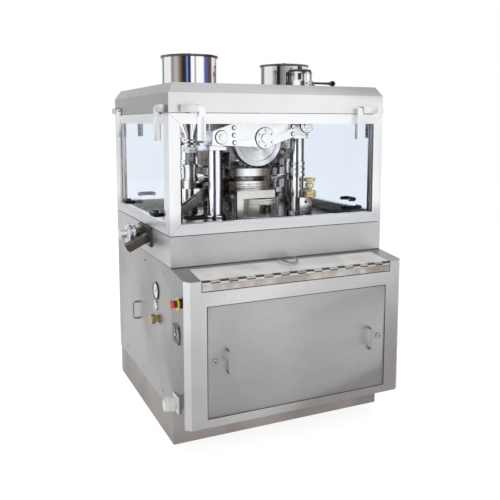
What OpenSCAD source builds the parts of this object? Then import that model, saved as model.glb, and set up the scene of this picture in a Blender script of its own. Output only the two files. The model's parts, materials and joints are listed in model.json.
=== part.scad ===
// Double-sided rotary tablet press in a stainless cabinet, millimetres.
// Origin on the floor under the turret axis, +X to the right, +Y to the rear, +Z up.

/* [Enclosure] */
// Width of the cabinet over its side panels
body_w = 1180; // [1100:10:1300]
// Depth of the cabinet, front of the glass doors to rear panel
body_d = 1060; // [1000:10:1200]
// Height of the plinth, which is also the lower edge of the panels
plinth_h = 165; // [120:5:200]
// Set-back of the plinth behind the panels
plinth_inset = 4; // [2:1:20]
// Wall of the plinth
plinth_wall = 30; // [24:1:40]
// Thickness of the plinth's floor plate
plinth_floor = 12; // [8:1:20]
// Height of the lower edge of the deck band
band_bottom = 875; // [860:5:900]
// Height of the upper edge of the deck band
band_top = 1020; // [1010:5:1040]
// Thickness of the deck's top plate and of the band's walls
deck_wall = 14; // [10:1:20]
// Height of the lower edge of the hood
hood_bottom = 1597; // [1580:1:1620]
// Height at which the hood's skirt turns in
hood_shoulder = 1688; // [1670:1:1700]
// Height of the hood's flat roof
hood_top = 1735; // [1715:1:1750]
// Distance over which the hood turns in
hood_run = 30; // [15:1:45]
// Thickness of panels, hood and console sheet
sheet = 3; // [2:0.5:4]
// Visible seam between neighbouring covers
seam = 2; // [1:0.5:3]
// Side of the cabinet frame's square tubes
tube = 50; // [40:2:56]
// Side of the chamber's corner posts
post = 20; // [16:1:24]

/* [Console] */
// Distance that the console stands forward of the cabinet
console_out = 203; // [180:1:240]
// Height of the console's lower edge
console_bottom = 158; // [140:1:180]
// Height of the console's top at its front edge
console_front_z = 848; // [840:1:852]
// Chamfer of the console's upright corners
console_chamfer = 25; // [15:1:32]
// Width of the console's pull-off door
console_door_w = 970; // [900:5:1000]
// Height of the lower edge of the console's door
console_door_z0 = 200; // [190:1:220]
// Height of the upper edge of the console's door
console_door_z1 = 727; // [700:1:740]
// Depth of the door's folded edge
door_fold = 18; // [12:1:26]
// Width of the console's lid
lid_w = 1020; // [960:5:1040]
// Height of the hinge strip on the console's front
lid_strip_h = 40; // [30:1:50]
// Number of knuckles of the lid's hinge
knuckles = 23; // [11:2:31]
// Half-width of the lid's bow pull
bow_w = 46; // [36:1:50]
// Depth of the lid's bow pull
bow_d = 76; // [50:1:80]
// Radius of the lid's hinge pin
lid_pin_r = 3; // [2:0.5:4]

/* [Glass doors] */
// Gap round the glass doors
door_gap = 3; // [2:0.5:5]
// Width of a door's stiles and bottom rail
stile = 54; // [44:1:60]
// Height of a door's top rail
top_rail = 50; // [40:1:60]
// Thickness of a door's frame
door_t = 30; // [24:1:34]
// Thickness of the glass
glass_t = 6; // [4:1:8]
// Depth that the glass stands in its groove
glass_in = 10; // [6:1:14]
// Distance of the hinge axis in front of the door's face
hinge_out = 14; // [13:1:17]
// Height of the hinge axis above the lower edge of the hood
hinge_up = 19; // [17:1:24]
// Radius of the hinge pin
hinge_pin_r = 6; // [4:0.5:7]
// Radius of the strap's eye
hinge_eye_r = 12; // [10:0.5:12.5]
// Length of the hinge block on the hood
hinge_block = 86; // [60:1:100]
// Width of the hinge strap on the door
strap_w = 34; // [24:1:40]
// Distance of a hinge block from the end of the front and rear doors
hinge_end = 52; // [40:1:80]
// Distance of a hinge block from the end of the side doors
side_hinge_end = 2; // [0:1:40]
// Height of the lower end of the hinge straps
strap_z = 1466; // [1440:1:1500]
// Length of a door's pull
pull_l = 110; // [90:1:120]
// Height of the door's pulls
pull_z = 1109; // [1100:1:1120]
// Distance of the left pull from the left edge of the front and rear doors
front_pull_l = 122; // [120:1:220]
// Distance of the right pull from the right edge of the front and rear doors
front_pull_r = 188; // [120:1:220]
// Distance of the left pull from the left edge of the side doors
side_pull_l = 292; // [120:1:320]
// Distance of the right pull from the right edge of the side doors
side_pull_r = 147; // [120:1:320]

/* [Turret] */
// Radius of the turret's guide and die table
turret_r = 250; // [244:1:252]
// Radius of the circle that the punches stand on
pitch_r = 205; // [200:1:212]
// Number of punch stations
stations = 33; // [23:2:37]
// Height of the underside of the lower punch guide
lower_guide_z = 1168; // [1164:1:1172]
// Height of the underside of the die table
die_z0 = 1196; // [1190:1:1200]
// Height of the top of the die table
die_z1 = 1238; // [1234:1:1242]
// Height of the underside of the upper punch guide
guide_z0 = 1266; // [1262:1:1272]
// Height of the top of the upper punch guide
guide_z1 = 1306; // [1300:1:1308]
// Height of the tops of the upper punches' heads
head_z1 = 1316.4; // [1312:0.2:1318]
// Height of the undersides of the lower punches' heads
head_z0 = 1156; // [1152:0.2:1160]
// Radius of a punch's barrel
punch_r = 11; // [8:0.5:13]
// Radius of a punch's tip
tip_r = 6; // [4:0.5:7]
// Radius of a punch's head
punch_head_r = 13; // [10:0.5:15]
// Radius of the main shaft
shaft_r = 45; // [40:1:50]

/* [Pressure rollers] */
// Radius of the upper rollers
upper_roller_r = 138; // [130:1:142]
// Width of the upper rollers
upper_roller_w = 60; // [50:1:66]
// Radius of the lower rollers
lower_roller_r = 55; // [48:1:58]
// Width of the lower rollers
lower_roller_w = 48; // [40:1:54]
// Offset between a roller's axis and its shaft's bearings
eccentric = 14; // [8:1:18]
// Radius of the upper rollers' journals
journal_r = 28; // [22:1:32]
// Radius of the lower rollers' pins
lower_pin_r = 15; // [12:1:18]
// Radius of the drum-shaped housings of the lower rollers
drum_r = 126; // [118:1:132]
// Wall of the drum-shaped housings
drum_wall = 12; // [8:1:16]

/* [Columns and yokes] */
// Distance of the columns from the machine's middle, across
column_x = 243; // [238:1:250]
// Distance of the columns from the machine's middle, fore and aft
column_y = 225; // [220:1:232]
// Radius of the columns
column_r = 38; // [32:1:40]
// Height of the columns' top faces
column_top = 1434; // [1425:1:1440]
// Distance of the outer yoke plates' faces from the machine's middle
yoke_y = 320; // [310:1:330]
// Thickness of the yoke plates
yoke_t = 22; // [16:1:26]

/* [Hoppers] */
// Radius of the hoppers
hopper_r = 140; // [120:1:150]
// Wall of the hoppers
hopper_wall = 2; // [1.5:0.5:3]
// Height of the hoppers' rims
hopper_rim_z = 1888; // [1840:1:1920]
// Radius of the hoppers' outlets
neck_r = 29; // [24:1:32]
// Distance of the hoppers from the machine's middle, across
hopper_x = 352; // [340:1:365]
// Distance of the hoppers from the machine's middle, fore and aft
hopper_y = 145; // [135:1:160]

/* [Drive] */
// Height of the worm wheel's middle
wheel_z = 778; // [765:1:790]
// Radius of the worm wheel
wheel_r = 150; // [130:1:160]
// Number of teeth on the worm wheel
wheel_teeth = 48; // [36:1:60]
// Radius of the worm
worm_r = 32; // [26:1:38]
// Height of the motor's shaft
motor_z = 330; // [310:1:350]
// Radius of the motor's body
motor_r = 95; // [80:1:105]
// Radius of the pulley on the worm shaft
worm_pulley_r = 90; // [70:1:100]
// Radius of the pulley on the motor
motor_pulley_r = 60; // [50:1:70]

/* [Outlets and controls] */
// Inner width of the discharge chutes
chute_w = 52; // [44:1:58]
// Height of the discharge chutes
chute_h = 40; // [34:1:44]
// Distance of the chutes from the machine's middle, fore and aft
chute_y = 150; // [146:1:156]
// Height at which a chute crosses the cabinet's side
chute_z = 965; // [955:1:970]
// Length of a chute outside the cabinet
chute_out = 112; // [90:1:130]
// Slope of the chutes inside the cabinet, degrees
chute_slope = 34; // [31:1:36]
// Slope of the chutes outside the cabinet, degrees
spout_slope = 26; // [20:1:30]
// Length of the sight slot in a chute's cover
slot_l = 140; // [80:5:150]
// Width of the sight slot
slot_w = 28; // [16:1:36]
// Distance of the adjusting dial from the machine's middle, fore and aft
dial_y = 58; // [54:1:70]
// Radius of the adjusting dial
dial_r = 52; // [44:1:53]
// Reach of the adjusting dial outside the cabinet
dial_out = 130; // [110:1:140]
// Height of the emergency stop
stop_z = 741; // [700:1:760]
// Distance of the emergency stop forward of the cabinet
stop_out = 138; // [110:1:142]
// Travel of the emergency stop
stop_travel = 4; // [3:0.5:6]
// Radius of the pressure handwheel's rim
wheel_rim_r = 60; // [50:1:64]
// Length of the locking lever
lever_l = 159; // [120:1:170]

/* [Hidden] */
// Clearance between faces of different moving bodies
clear = 0.3;
// Radial clearance of a shaft in its bore
fit = 0.05;
// Radial clearance of a punch in its bore
bore_gap = 0.2;
// Small overrun of a cut past a face
eps = 1;
$fn = 64;

half_w = body_w / 2;
half_d = body_d / 2;
inner_w = half_w - sheet;
inner_d = half_d - sheet;
console_y = -half_d - console_out;
deck_t = 4;
deck_z = band_top + deck_t;
post_x = half_w - door_t - door_gap - post;
post_y = half_d - door_t - door_gap - post;
door_z0 = band_top + door_gap;
door_z1 = hood_bottom - door_gap;
side_door_half = half_d - door_t - door_gap;
hinge_z = hood_bottom + hinge_up;
glass_mid = door_t / 2;
roller_y = pitch_r;
upper_axis_z = head_z1 + 0.6 + upper_roller_r;
lower_axis_z = head_z0 - 0.6 - lower_roller_r;
bearing_z = upper_axis_z + eccentric;
yoke_in = yoke_y - yoke_t;
inner_yoke_y = roller_y - upper_roller_w / 2 - 20 - yoke_t;
drum_z0 = deck_z + 15;
drum_z1 = head_z0 - 5;
worm_y = wheel_r + worm_r + clear;
gear_in_r = wheel_r + 8;
gear_wall = 12;
gear_z0 = wheel_z - 60;
tunnel_r = worm_r + 10;
tunnel_x = 190;
pulley_x = 250;
pulley_w = 40;
belt_t = 10;
dial_z = band_top + 1 - dial_r;
neck_z = 1424;
feed_ring_h = 30;
feeder_angle = atan2(hopper_y, hopper_x);
feeder_r = sqrt(hopper_x * hopper_x + hopper_y * hopper_y);
fill_x = column_x + 31;
fill_y = -column_y - 88;
fill_z = deck_z + 123;
roof_z = hood_top;
stand_x = 336;
stand_y = 80;
stand_w = 112;
stand_d = 100;
stand_h = 50;
stand_top = 92;
lid_z = console_front_z;
lid_slope = atan2(band_bottom - 4 - console_front_z, console_out);
lid_back = -half_d - 33;
lid_len = (lid_back - seam - console_y) / cos(lid_slope);
lock_z = 466;
handle_mid_z = 463;

// ---------- helpers ----------

// A box between two opposite corners
module box(a, b) {
    translate(a) cube([b[0] - a[0], b[1] - a[1], b[2] - a[2]]);
}

// A copy as drawn and one turned half round the machine's axis
module both_sides() {
    children();
    rotate([0, 0, 180]) children();
}

// A round bar along Y from y0 to y1
module bar_y(r, x, z, y0, y1) {
    translate([x, y1, z]) rotate([90, 0, 0]) cylinder(r = r, h = y1 - y0);
}

// A round bar along X from x0 to x1
module bar_x(r, y, z, x0, x1) {
    translate([x0, y, z]) rotate([0, 90, 0]) cylinder(r = r, h = x1 - x0);
}

// A D-shaped pull of bent rod, its feet on the plane y = 0 and its grip towards -Y
module rod_pull(length, reach, rod) {
    for (s = [-1, 1])
        translate([0, 0, s * (length / 2 - rod)])
            rotate([90, 0, 0]) cylinder(r = rod, h = reach);
    translate([0, -reach + rod, -length / 2]) cylinder(r = rod, h = length);
}

// ---------- plinth, frame and panels ----------

module plinth() {
    color("dimgray") difference() {
        box([-half_w + plinth_inset, -half_d + plinth_inset, 0],
            [half_w - plinth_inset, half_d - plinth_inset, plinth_h]);
        box([-half_w + plinth_inset + plinth_wall, -half_d + plinth_inset + plinth_wall, plinth_floor],
            [half_w - plinth_inset - plinth_wall, half_d - plinth_inset - plinth_wall, plinth_h + eps]);
    }
}

module cabinet_frame() {
    color("slategray") {
        for (sx = [-1, 1], sy = [-1, 1])
            translate([sx * (inner_w - tube / 2), sy * (inner_d - tube / 2), (plinth_h + band_bottom) / 2])
                cube([tube, tube, band_bottom - plinth_h], center = true);
        for (sx = [-1, 1], z = [plinth_h, band_bottom - tube])
            translate([sx * (inner_w - tube / 2) - tube / 2, -inner_d + tube, z])
                cube([tube, 2 * inner_d - 2 * tube, tube]);
        for (sy = [-1, 1])
            translate([-inner_w + tube, sy * (inner_d - tube / 2) - tube / 2, band_bottom - tube])
                cube([2 * inner_w - 2 * tube, tube, tube]);
        translate([-inner_w + tube, inner_d - tube, plinth_h]) cube([2 * inner_w - 2 * tube, tube, tube]);
    }
}

module side_panels() {
    color("silver") for (s = [-1, 1])
        translate([s > 0 ? inner_w : -half_w, -half_d, plinth_h])
            cube([sheet, body_d, band_bottom - seam - plinth_h]);
}

module rear_panel() {
    color("silver")
        box([-inner_w, inner_d, plinth_h], [inner_w, half_d, band_bottom - seam]);
}

// ---------- console ----------

// Plan of the console, grown inwards by d, with chamfered front corners
module console_plan(d) {
    c = console_chamfer - d * (2 - sqrt(2));
    polygon([
        [-half_w + d, -half_d + (d > 0 ? eps : 0)], [-half_w + d, console_y + d + c],
        [-half_w + d + c, console_y + d], [half_w - d - c, console_y + d],
        [half_w - d, console_y + d + c], [half_w - d, -half_d + (d > 0 ? eps : 0)]
    ]);
}

// Everything above the console's sloping top, shifted down by d
module above_console(d) {
    translate([0, console_y, lid_z - d]) rotate([lid_slope, 0, 0])
        translate([-half_w - 10, -100, 0]) cube([body_w + 20, console_out + 200, 200]);
}

module console_shell() {
    color("gainsboro") difference() {
        translate([0, 0, console_bottom]) linear_extrude(band_bottom - console_bottom) console_plan(0);
        above_console(0);
        difference() {
            translate([0, 0, console_bottom + sheet])
                linear_extrude(band_bottom - console_bottom) console_plan(sheet);
            above_console(sheet);
        }
        // doorway in the front
        box([-console_door_w / 2 - seam, console_y - eps, console_door_z0 - seam],
            [console_door_w / 2 + seam, console_y + sheet + eps, console_door_z1 + seam]);
        // opening under the lid, with the notch for the hinge strip
        box([-lid_w / 2 - seam, console_y - eps, lid_z - lid_strip_h - 12],
            [lid_w / 2 + seam, lid_back, band_bottom]);
        // holes for the emergency stop, the vent and the inlet
        for (h = [[stop_out, stop_z, 11], [76, 581, 44], [70, 244, 24]])
            bar_x(h[2], -half_d - h[0], h[1], -half_w - eps, -inner_w + eps);
    }
    // folded rim behind the doorway, against which the door rests
    color("gainsboro") difference() {
        box([-console_door_w / 2 - seam - sheet, console_y + sheet, console_door_z0 - seam - sheet],
            [console_door_w / 2 + seam + sheet, console_y + door_fold + clear + sheet,
             console_door_z1 + seam + sheet]);
        box([-console_door_w / 2 - seam, console_y + sheet - eps, console_door_z0 - seam],
            [console_door_w / 2 + seam, console_y + door_fold + clear, console_door_z1 + seam]);
        box([-console_door_w / 2 + 12, console_y, console_door_z0 + 12],
            [console_door_w / 2 - 12, console_y + door_fold + 3 * sheet, console_door_z1 - 12]);
    }
    // hinge strip fixed behind the notch, with the fixed hinge knuckles
    color("gainsboro") {
        union() {
            box([-lid_w / 2 - 16, console_y + sheet, lid_z - lid_strip_h - 24],
                [lid_w / 2 + 16, console_y + sheet + 3, lid_z - 14]);
            box([-lid_w / 2, console_y, lid_z - lid_strip_h - 10],
                [lid_w / 2, console_y + sheet, lid_z - 14]);
            for (i = [0 : 2 : knuckles - 1]) translate([knuckle_x(i), 0, 0]) {
                bar_x(lid_pin_r + 3, hinge_axis_y(), hinge_axis_z(), 0, knuckle_l() - 1);
                box([0, console_y, lid_z - 15], [knuckle_l() - 1, console_y + 5, hinge_axis_z()]);
            }
            bar_x(lid_pin_r, hinge_axis_y(), hinge_axis_z(), -lid_w / 2, lid_w / 2);
        }
    }
}

// The lid's piano hinge: the knuckles share the lid's width
function knuckle_l() = lid_w / knuckles;
function knuckle_x(i) = -lid_w / 2 + i * knuckle_l();
function hinge_axis_y() = console_y + lid_pin_r + 3;
function hinge_axis_z() = lid_z - lid_pin_r - 3;

module console_lid() {
    color("whitesmoke") difference() {
        union() {
            translate([0, console_y, lid_z]) rotate([lid_slope, 0, 0]) {
                translate([-lid_w / 2, 15, -sheet]) cube([lid_w, lid_len - 15, sheet]);
                // flat bow pull on two feet
                for (s = [-1, 1]) translate([s * (bow_w - 4), lid_len - 12, 0]) cylinder(r = 4, h = 12);
                translate([0, lid_len - 12, 12]) difference() {
                    scale([1, bow_d / bow_w, 1]) cylinder(r = bow_w, h = 6);
                    translate([0, 0, -eps]) scale([1, (bow_d - 8) / (bow_w - 8), 1])
                        cylinder(r = bow_w - 8, h = 6 + 2 * eps);
                    translate([-bow_w - 9, 5, -eps]) cube([2 * bow_w + 18, bow_d, 6 + 2 * eps]);
                }
            }
            for (i = [1 : 2 : knuckles - 2]) translate([knuckle_x(i), 0, 0]) {
                bar_x(lid_pin_r + 3, hinge_axis_y(), hinge_axis_z(), 0, knuckle_l() - 1);
                box([0, hinge_axis_y(), hinge_axis_z() + lid_pin_r],
                    [knuckle_l() - 1, console_y + 17, lid_z]);
            }
        }
        bar_x(lid_pin_r + fit, hinge_axis_y(), hinge_axis_z(), -lid_w, lid_w);
    }
}

module console_door() {
    x = console_door_w / 2;
    color("lightgray") difference() {
        box([-x, console_y, console_door_z0], [x, console_y + door_fold, console_door_z1]);
        box([-x + sheet, console_y + sheet, console_door_z0 + sheet],
            [x - sheet, console_y + door_fold + eps, console_door_z1 - sheet]);
        for (s = [-1, 1]) bar_y(9, s * (x - 36), lock_z, console_y - eps, console_y + sheet + eps);
    }
}

module console_door_fittings() {
    x = console_door_w / 2;
    color("silver") for (s = [-1, 1]) {
        // quarter-turn lock
        bar_y(16, s * (x - 36), lock_z, console_y - 5, console_y);
        bar_y(9, s * (x - 36), lock_z, console_y - 5, console_y + sheet + 12);
        translate([s * (x - 97), console_y, handle_mid_z]) rod_pull(116, 32, 4.5);
    }
}

module panel_fittings() {
    color("silver") {
        // side panels: a pull, button-head screws and a lock
        both_sides() translate([-half_w, 0, 0]) {
            translate([0, 74, 513]) rotate([0, 0, -90]) rod_pull(104, 36, 5);
            for (p = [[-420, 822], [-65, 822], [290, 822], [-10, 214], [345, 214]])
                bar_x(5, p[0], p[1], -3, 0);
            bar_x(11, -363, 210, -4, 0);
        }
        // rear panel: screws all round
        for (i = [-3, -1, 1, 3], z = [214, 822])
            bar_y(5, i * (half_w - 60) / 3, z, half_d, half_d + 3);
        for (s = [-1, 1]) bar_y(5, s * (half_w - 60), 518, half_d, half_d + 3);
    }
}

// ---------- deck, posts and hood ----------

// Slots for the chutes, cut through the deck and the band with the given margin
module chute_cut(margin) {
    w = chute_w / 2 + 2 + margin;
    both_sides() {
        box([-half_w + 6, -chute_y - w, band_top - deck_wall - eps],
            [-half_w + 128 + margin, -chute_y + w, deck_z + eps]);
        box([-half_w - eps, -chute_y - w, chute_z - chute_h / 2 - 9 - margin],
            [-half_w + deck_wall + eps, -chute_y + w, band_top - deck_wall]);
    }
}

module deck_base() {
    color("gainsboro") difference() {
        union() {
            difference() {
                box([-half_w, -half_d, band_bottom], [half_w, half_d, band_top]);
                box([-half_w + deck_wall, -half_d + deck_wall, band_bottom - eps],
                    [half_w - deck_wall, half_d - deck_wall, band_top - deck_wall]);
            }
            // bearing boss of the main shaft, down to the gearbox
            translate([0, 0, band_bottom])
                cylinder(r = shaft_r + 55, h = band_top - deck_wall - band_bottom);
            // ribs that tie the boss to the band
            for (s = [-1, 1]) {
                box([s > 0 ? shaft_r + 40 : -half_w + deck_wall / 2, -8, band_bottom],
                    [s > 0 ? half_w - deck_wall / 2 : -shaft_r - 40, 8, band_top - deck_wall]);
                box([-8, s > 0 ? shaft_r + 40 : -half_d + deck_wall / 2, band_bottom],
                    [8, s > 0 ? half_d - deck_wall / 2 : -shaft_r - 40, band_top - deck_wall]);
            }
        }
        translate([0, 0, band_bottom - eps])
            cylinder(r = shaft_r + fit, h = band_top - band_bottom + 2 * eps);
        chute_cut(3);
    }
}

module deck_plate() {
    color("rosybrown") difference() {
        box([-half_w + door_t + door_gap, -half_d + door_t + door_gap, band_top],
            [half_w - door_t - door_gap, half_d - door_t - door_gap, deck_z]);
        translate([0, 0, band_top - eps]) cylinder(r = shaft_r + 6, h = deck_t + 2 * eps);
        chute_cut(3);
    }
}

module corner_posts() {
    color("silver") for (sx = [-1, 1], sy = [-1, 1])
        translate([sx * (post_x + post / 2), sy * (post_y + post / 2), deck_z]) {
            translate([-post / 2, -post / 2, 0]) cube([post, post, hood_bottom - deck_z]);
        }
}

// The hood's outer form, drawn in by d on every side and open below
module hood_form(d) {
    low = hood_bottom - (d > 0 ? eps : 0);
    intersection() {
        rotate([90, 0, 0]) translate([0, 0, -half_d]) linear_extrude(body_d)
            hood_profile(half_w - d, low, hood_top - d);
        rotate([90, 0, 90]) translate([0, 0, -half_w]) linear_extrude(body_w)
            hood_profile(half_d - d, low, hood_top - d);
    }
}

// The hood seen end on, half-width h, from its lower edge to its roof
module hood_profile(h, low, top) {
    polygon([[-h, low], [h, low], [h, hood_shoulder], [h - hood_run, top], [-h + hood_run, top],
             [-h, hood_shoulder]]);
}

module hood() {
    color("whitesmoke") difference() {
        union() {
            difference() {
                hood_form(0);
                hood_form(sheet);
            }
            // inward flange at the lower edge, on which the posts bear
            difference() {
                box([-inner_w, -inner_d, hood_bottom], [inner_w, inner_d, hood_bottom + 4]);
                box([-post_x, -post_y, hood_bottom - eps], [post_x, post_y, hood_bottom + 4 + eps]);
            }
        }
        both_sides() translate([-hopper_x, -hopper_y, hood_top - 20])
            cylinder(r = hopper_r + clear, h = 40);
    }
}

// ---------- glass doors ----------

// A door's frame seen from its front, half-width w, its face on the plane y = 0
module door_frame(w, he) {
    difference() {
        box([-w, 0, door_z0], [w, door_t, door_z1]);
        box([-w + stile, -eps, door_z0 + stile], [w - stile, door_t + eps, door_z1 - top_rail]);
        box([-w + stile - glass_in - 2, glass_mid - glass_t / 2, door_z0 + stile - glass_in - 2],
            [w - stile + glass_in + 2, glass_mid + glass_t / 2, door_z1 - top_rail + glass_in + 2]);
    }
    // hinge straps: a fin down over the top rail and an eye round the pin
    for (s = [-1, 1]) difference() {
        x0 = s < 0 ? -w + he + hinge_block + 2 * clear : w - he - hinge_block - 2 * clear - strap_w;
        union() {
            box([x0, -6, strap_z], [x0 + strap_w, 0, door_z1 - 6]);
            box([x0 + (s < 0 ? strap_w - 8 : 0), -26, strap_z],
                [x0 + (s < 0 ? strap_w : 8), -6, door_z1 - 6]);
            box([x0, -26, door_z1 - 16], [x0 + strap_w, -2, hinge_z]);
            bar_x(hinge_eye_r, -hinge_out, hinge_z, x0, x0 + strap_w);
        }
        bar_x(hinge_pin_r + fit, -hinge_out, hinge_z, x0 - eps, x0 + strap_w + eps);
    }
}

// A door's pane
module door_glass(w) {
    box([-w + stile - glass_in, glass_mid - glass_t / 2, door_z0 + stile - glass_in],
        [w - stile + glass_in, glass_mid + glass_t / 2, door_z1 - top_rail + glass_in]);
}

// The two black pulls of a door of half-width w, l from its left edge and r from its right edge
module door_pulls(w, l, r) {
    face = glass_mid - glass_t / 2;
    for (x = [-w + l, w - r]) translate([x, 0, pull_z]) {
        for (f = [-1, 1])
            translate([f * (pull_l / 2 - 12) - 9, -26, -9]) cube([18, 26 + face, 18]);
        box([-pull_l / 2, -40, -12], [pull_l / 2, -26, 12]);
    }
}

// The fixed half of a door's hinges, on the hood's skirt
module door_brackets(w, he) {
    for (s = [-1, 1]) {
        x0 = s < 0 ? -w + he : w - he - hinge_block;
        box([x0, -28, hinge_z - 17], [x0 + hinge_block, 0, hinge_z + 17]);
        bar_x(hinge_pin_r, -hinge_out, hinge_z,
              x0 - (s < 0 ? 0 : strap_w + 4 * clear), x0 + hinge_block + (s < 0 ? strap_w + 4 * clear : 0));
    }
}

// Turns a door drawn for the front to one of the four sides
module on_front() { translate([0, -half_d, 0]) children(); }
module on_rear() { rotate([0, 0, 180]) translate([0, -half_d, 0]) children(); }
module on_left() { rotate([0, 0, -90]) translate([0, -half_w, 0]) children(); }
module on_right() { rotate([0, 0, 90]) translate([0, -half_w, 0]) children(); }

module hinge_brackets() {
    color("silver") {
        on_front() door_brackets(half_w, hinge_end);
        on_rear() door_brackets(half_w, hinge_end);
        on_left() door_brackets(side_door_half, side_hinge_end);
        on_right() door_brackets(side_door_half, side_hinge_end);
    }
}

module front_door_frame() { color("whitesmoke") on_front() door_frame(half_w, hinge_end); }
module rear_door_frame() { color("whitesmoke") on_rear() door_frame(half_w, hinge_end); }
module left_door_frame() { color("whitesmoke") on_left() door_frame(side_door_half, side_hinge_end); }
module right_door_frame() { color("whitesmoke") on_right() door_frame(side_door_half, side_hinge_end); }
module front_door_glass() { color("lightblue") on_front() door_glass(half_w); }
module rear_door_glass() { color("lightblue") on_rear() door_glass(half_w); }
module left_door_glass() { color("lightblue") on_left() door_glass(side_door_half); }
module right_door_glass() { color("lightblue") on_right() door_glass(side_door_half); }
module front_door_pulls() { color("black") on_front() door_pulls(half_w, front_pull_l, front_pull_r); }
module rear_door_pulls() { color("black") on_rear() door_pulls(half_w, front_pull_l, front_pull_r); }
module left_door_pulls() { color("black") on_left() door_pulls(side_door_half, side_pull_l, side_pull_r); }
module right_door_pulls() { color("black") on_right() door_pulls(side_door_half, side_pull_l, side_pull_r); }

// ---------- hoppers ----------

// A hopper on its own axis: bowl, cone and outlet turned in one sheet
// Bowl with its beaded rim and the collar that stands on the roof, then cone and neck, seamed together
module hopper() {
    cone_z = roof_z - 35;
    neck_top = neck_z + 60;
    seam = 0.2;
    w = hopper_wall;
    rotate_extrude() polygon([
        [hopper_r - w, cone_z], [hopper_r - w, hopper_rim_z - 2],
        for (a = [150 : -30 : -150]) [hopper_r + 5 + 4 * cos(a), hopper_rim_z - 4 + 4 * sin(a)],
        [hopper_r, hopper_rim_z - 6], [hopper_r, roof_z + 4], [hopper_r + 4, roof_z + 4],
        [hopper_r + 4, roof_z], [hopper_r, roof_z], [hopper_r, cone_z]
    ]);
    rotate_extrude() polygon([
        [hopper_r - w, cone_z - seam], [hopper_r, cone_z - seam], [neck_r + w, neck_top], [neck_r, neck_top]
    ]);
    translate([0, 0, neck_z]) difference() {
        cylinder(r = neck_r + w, h = neck_top - neck_z - seam);
        translate([0, 0, -eps]) cylinder(r = neck_r, h = neck_top - neck_z + 2 * eps);
    }
}
module hopper_lid() {
    translate([0, 0, hopper_rim_z + clear]) {
        cylinder(r = hopper_r + 8, h = 3);
        translate([0, 0, 3]) cylinder(r = 5, h = 6);
        translate([0, 0, 9]) cylinder(r = 10, h = 9);
    }
}

module hopper_left() { color("silver") translate([-hopper_x, -hopper_y, 0]) hopper(); }
module hopper_right() { color("silver") translate([hopper_x, hopper_y, 0]) hopper(); }
module hopper_lid_left() { color("gray") translate([-hopper_x, -hopper_y, 0]) hopper_lid(); }
module hopper_lid_right() { color("gray") translate([hopper_x, hopper_y, 0]) hopper_lid(); }

// ---------- columns and upper frame ----------

// Heights of the two kinds of column: the low ones stand left of the front roller
high_top = column_top + 56;

// One column with its foot flange and square cap
module column(top, collars) {
    translate([0, 0, deck_z]) cylinder(r = 60, h = 44);
    translate([0, 0, deck_z + 20]) cylinder(r = column_r, h = top - deck_z - 30);
    translate([-45, -45, top - 26]) cube([90, 90, 26]);
    if (collars) for (i = [0 : 2])
        translate([0, 0, guide_z0 - 10 + i * 30]) cylinder(r = column_r + 6, h = 20);
}

module columns() {
    color("silver") both_sides() {
        translate([-column_x, -column_y, 0]) column(column_top, false);
        translate([column_x, -column_y, 0]) column(high_top, true);
    }
}

module upper_frame() {
    top = hood_bottom + 3;
    color("white") both_sides() difference() {
        union() {
            // outer yoke plate
            translate([0, -yoke_in, 0]) rotate([90, 0, 0]) linear_extrude(yoke_t)
                polygon([[-293, column_top + 3], [8, column_top - 14], [287, column_top + 77],
                         [287, top], [-20, top], [-293, column_top + 74]]);
            // inner yoke plate, top plate and the blocks on the columns
            box([-column_x, -inner_yoke_y - yoke_t, column_top], [column_x, -inner_yoke_y, top]);
            box([-column_x, -yoke_y, top], [column_x, -inner_yoke_y, top + 20]);
            box([-column_x - 38, -yoke_in - eps, column_top],
                [-column_x + 38, -inner_yoke_y - yoke_t + eps, column_top + 76]);
            box([column_x - 38, -yoke_in - eps, high_top],
                [column_x + 38, -inner_yoke_y - yoke_t + eps, high_top + 60]);
        }
        bar_y(journal_r + fit, 0, bearing_z, -yoke_y - eps, -inner_yoke_y + eps);
    }
}

// A round bearing cap with its screws, on the outer yoke plate
module bearing_cap(x, z, r, n) {
    bar_y(r, x, z, -yoke_y - 8, -yoke_y);
    bar_y(r * 0.45, x, z, -yoke_y - 16, -yoke_y - 8);
    for (i = [0 : n - 1]) let (a = 360 / n * i + 30)
        bar_y(3.5, x + 0.76 * r * cos(a), z + 0.76 * r * sin(a), -yoke_y - 12, -yoke_y - 8);
}

module roller_shafts() {
    mid0 = -roller_y - upper_roller_w / 2 - 4;
    mid1 = -roller_y + upper_roller_w / 2 + 4;
    color("lightgray") both_sides() {
        // eccentric shaft of the upper roller, its journals in the two yoke plates
        bar_y(journal_r, 0, bearing_z, -yoke_y, mid0);
        bar_y(journal_r, 0, upper_axis_z, mid0, mid1);
        bar_y(journal_r, 0, bearing_z, mid1, -inner_yoke_y);
        bearing_cap(0, bearing_z, 54, 6);
        bearing_cap(-245, column_top + 42, 33, 6);
        bearing_cap(246, column_top + 100, 36, 6);
        // cap screws of the yoke plate
        for (p = [[-176, 90], [-176, 52], [-173, 14], [165, 96], [166, 56]])
            bar_y(9, p[0], column_top + p[1], -yoke_y - 7, -yoke_y);
        // pin of the lower roller
        bar_y(lower_pin_r, 0, lower_axis_z, -roller_y - lower_roller_w / 2 - 12,
              -roller_y + lower_roller_w / 2 + 12);
    }
}

// ---------- turret ----------

// Places its children at every punch station
module at_stations() {
    for (i = [0 : stations - 1])
        rotate([0, 0, 360 / stations * (i + 0.5)]) translate([pitch_r, 0, 0]) children();
}

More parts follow.
